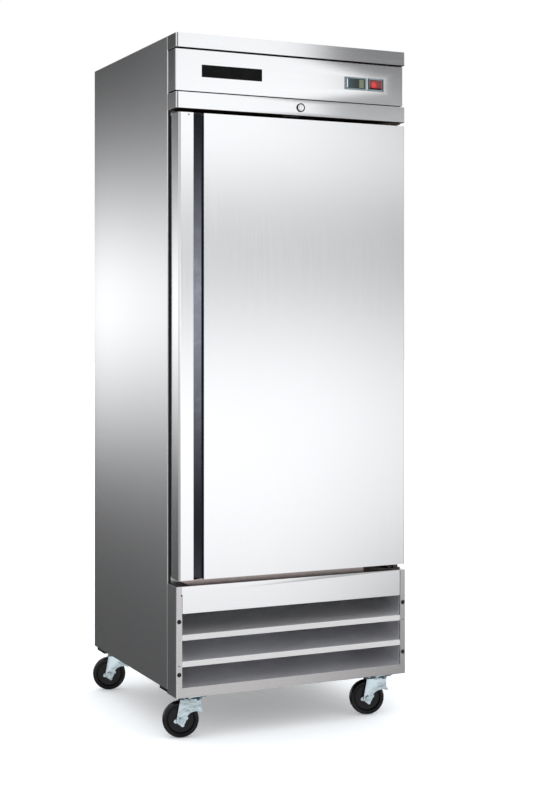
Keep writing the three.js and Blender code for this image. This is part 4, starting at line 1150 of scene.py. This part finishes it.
# %% Condensing unit
rounded_copy("base_frame", enamel, 0.0008)
rounded_copy("condenser_coil", fin_stock, 0.0003, 1)
rounded_copy("condenser_shroud", galvanised, 0.0005)
rounded_copy("condenser_fan_motor", black_plastic, 0.0012)
rounded_copy("condenser_fan", fin_stock, 0.0004)
rounded_copy("electrical_box", galvanised, 0.0006)
rounded_copy("compressor", enamel, 0.0010)
low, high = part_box("compressor")
shell_x, shell_y = low.x + 0.1004, low.y + 0.1
SHELL_RADIUS = 0.0800
SEAM_UP = 0.099
seam_profile = [
    (SHELL_RADIUS, -0.0030),
    (SHELL_RADIUS + 0.0006, -0.0030),
    (SHELL_RADIUS + 0.0012, -0.0012),
    (SHELL_RADIUS + 0.0012, 0.0012),
    (SHELL_RADIUS + 0.0006, 0.0030),
    (SHELL_RADIUS, 0.0030),
    (SHELL_RADIUS, -0.0030),
]
seam = moved(spun(seam_profile, 48), Matrix.Translation((shell_x, shell_y, low.z + SEAM_UP)))
new_piece("compressor_weld_seam", seam, enamel, "cabinet")


def tube(name, points, radius, material):
    """A round tube along a smooth line through points."""
    data = bpy.data.curves.new(name, "CURVE")
    data.dimensions = "3D"
    data.bevel_depth = radius
    data.bevel_resolution = 4
    data.resolution_u = 10
    data.use_fill_caps = True
    line = data.splines.new("BEZIER")
    line.bezier_points.add(len(points) - 1)
    for knot, point in zip(line.bezier_points, points):
        knot.co = point
        knot.handle_left_type = knot.handle_right_type = "AUTO"
    curve = bpy.data.objects.new(name, data)
    scene.collection.objects.link(curve)
    bpy.context.view_layer.update()
    shape = bmesh.new()
    baked = curve.evaluated_get(bpy.context.evaluated_depsgraph_get()).to_mesh()
    shape.from_mesh(baked)
    bpy.data.objects.remove(curve)
    return new_piece(name, shape, material, "cabinet")


TUBE = 0.0032
coil_low, coil_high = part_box("condenser_coil")
deck = low.z
discharge = [
    (shell_x, shell_y - 0.055, low.z + 0.148),
    (shell_x, shell_y - 0.085, low.z + 0.185),
    (shell_x - 0.05, shell_y - 0.16, low.z + 0.200),
    (coil_high.x + 0.035, coil_high.y + 0.05, coil_high.z - 0.020),
    (coil_high.x + 0.016, coil_low.y + 0.03, coil_high.z - 0.020),
    (coil_high.x - 0.002, coil_low.y + 0.025, coil_high.z - 0.020),
]
tube("discharge_line", discharge, TUBE, copper)
liquid = [
    (coil_high.x - 0.002, coil_low.y + 0.025, coil_low.z + 0.020),
    (coil_high.x + 0.018, coil_low.y + 0.028, coil_low.z + 0.020),
    (coil_high.x + 0.030, coil_high.y + 0.04, deck + 0.012),
    (coil_high.x + 0.030, coil_high.y + 0.16, deck + 0.012),
    (coil_high.x + 0.020, coil_high.y + 0.25, deck + 0.020),
    (coil_high.x - 0.020, coil_high.y + 0.30, deck + 0.045),
]
tube("liquid_line", liquid, TUBE * 0.8, copper)
drier_profile = [
    (0.0, -0.060),
    (0.0042, -0.060),
    (0.0048, -0.050),
    (0.0130, -0.040),
    (0.0130, 0.040),
    (0.0048, 0.050),
    (0.0042, 0.060),
    (0.0, 0.060),
]
drier_at = (coil_high.x - 0.075, coil_high.y + 0.30, deck + 0.045)
new_piece("filter_drier", moved(spun(drier_profile, 28), along((1, 0, 0), drier_at)), copper, "cabinet")
suction = [
    (shell_x + 0.096, shell_y, low.z + 0.060),
    (shell_x + 0.104, shell_y + 0.02, low.z + 0.075),
    (shell_x + 0.104, shell_y + 0.085, low.z + 0.140),
    (shell_x + 0.06, shell_y + 0.105, low.z + 0.220),
    (shell_x + 0.02, shell_y + 0.105, low.z + 0.262),
]
tube("suction_line", suction, TUBE * 1.3, copper)
PAN = (0.190, 0.150, 0.034)
PAN_WALL, PAN_DEPTH = 0.0016, 0.0300
pan = block(PAN, (coil_low.x + 0.085, coil_high.y + 0.260, deck + 0.018))
lid = [f for f in pan.faces if f.normal.z > 0.9]
bmesh.ops.inset_region(pan, faces=lid, thickness=PAN_WALL)
lid = [f for f in pan.faces if f.normal.z > 0.9 and f.calc_area() > 0.01]
bmesh.ops.translate(pan, vec=(0, 0, -PAN_DEPTH), verts=list({v for f in lid for v in f.verts}))
new_piece("condensate_pan", pan, black_plastic, "cabinet", bevel=0.0006)
print("condensing unit done")

# %% [markdown]
# ## Back of the cabinet
# The back sheet is held by rows of pan-head screws, and so is the slotted guard under it.

# %% Back screws
low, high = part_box("rear_panel")
BACK_SCREW = 0.0040
SUNK = 0.0019
ROWS = 7
END_ROW, SIDE_ROW = 0.04, 0.010
GUARD_END, GUARD_SIDE = 0.02, 0.012
row_step = (high.z - low.z - 2 * END_ROW) / (ROWS - 1)
places = [
    (x, high.y - SUNK, low.z + END_ROW + row * row_step)
    for row in range(ROWS)
    for x in (low.x + SIDE_ROW, high.x - SIDE_ROW)
]
guard_low, guard_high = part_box("rear_guard")
places += [
    (x, high.y - SUNK, z)
    for x in (guard_low.x + GUARD_SIDE, guard_high.x - GUARD_SIDE)
    for z in (guard_low.z + GUARD_END, guard_high.z - GUARD_END)
]
screws("back_screws", places, BACK_SCREW, (0, 1, 0), zinc)
print(len(places), "back screws")

# %% [markdown]

# %% Update the view layer
bpy.context.view_layer.update()
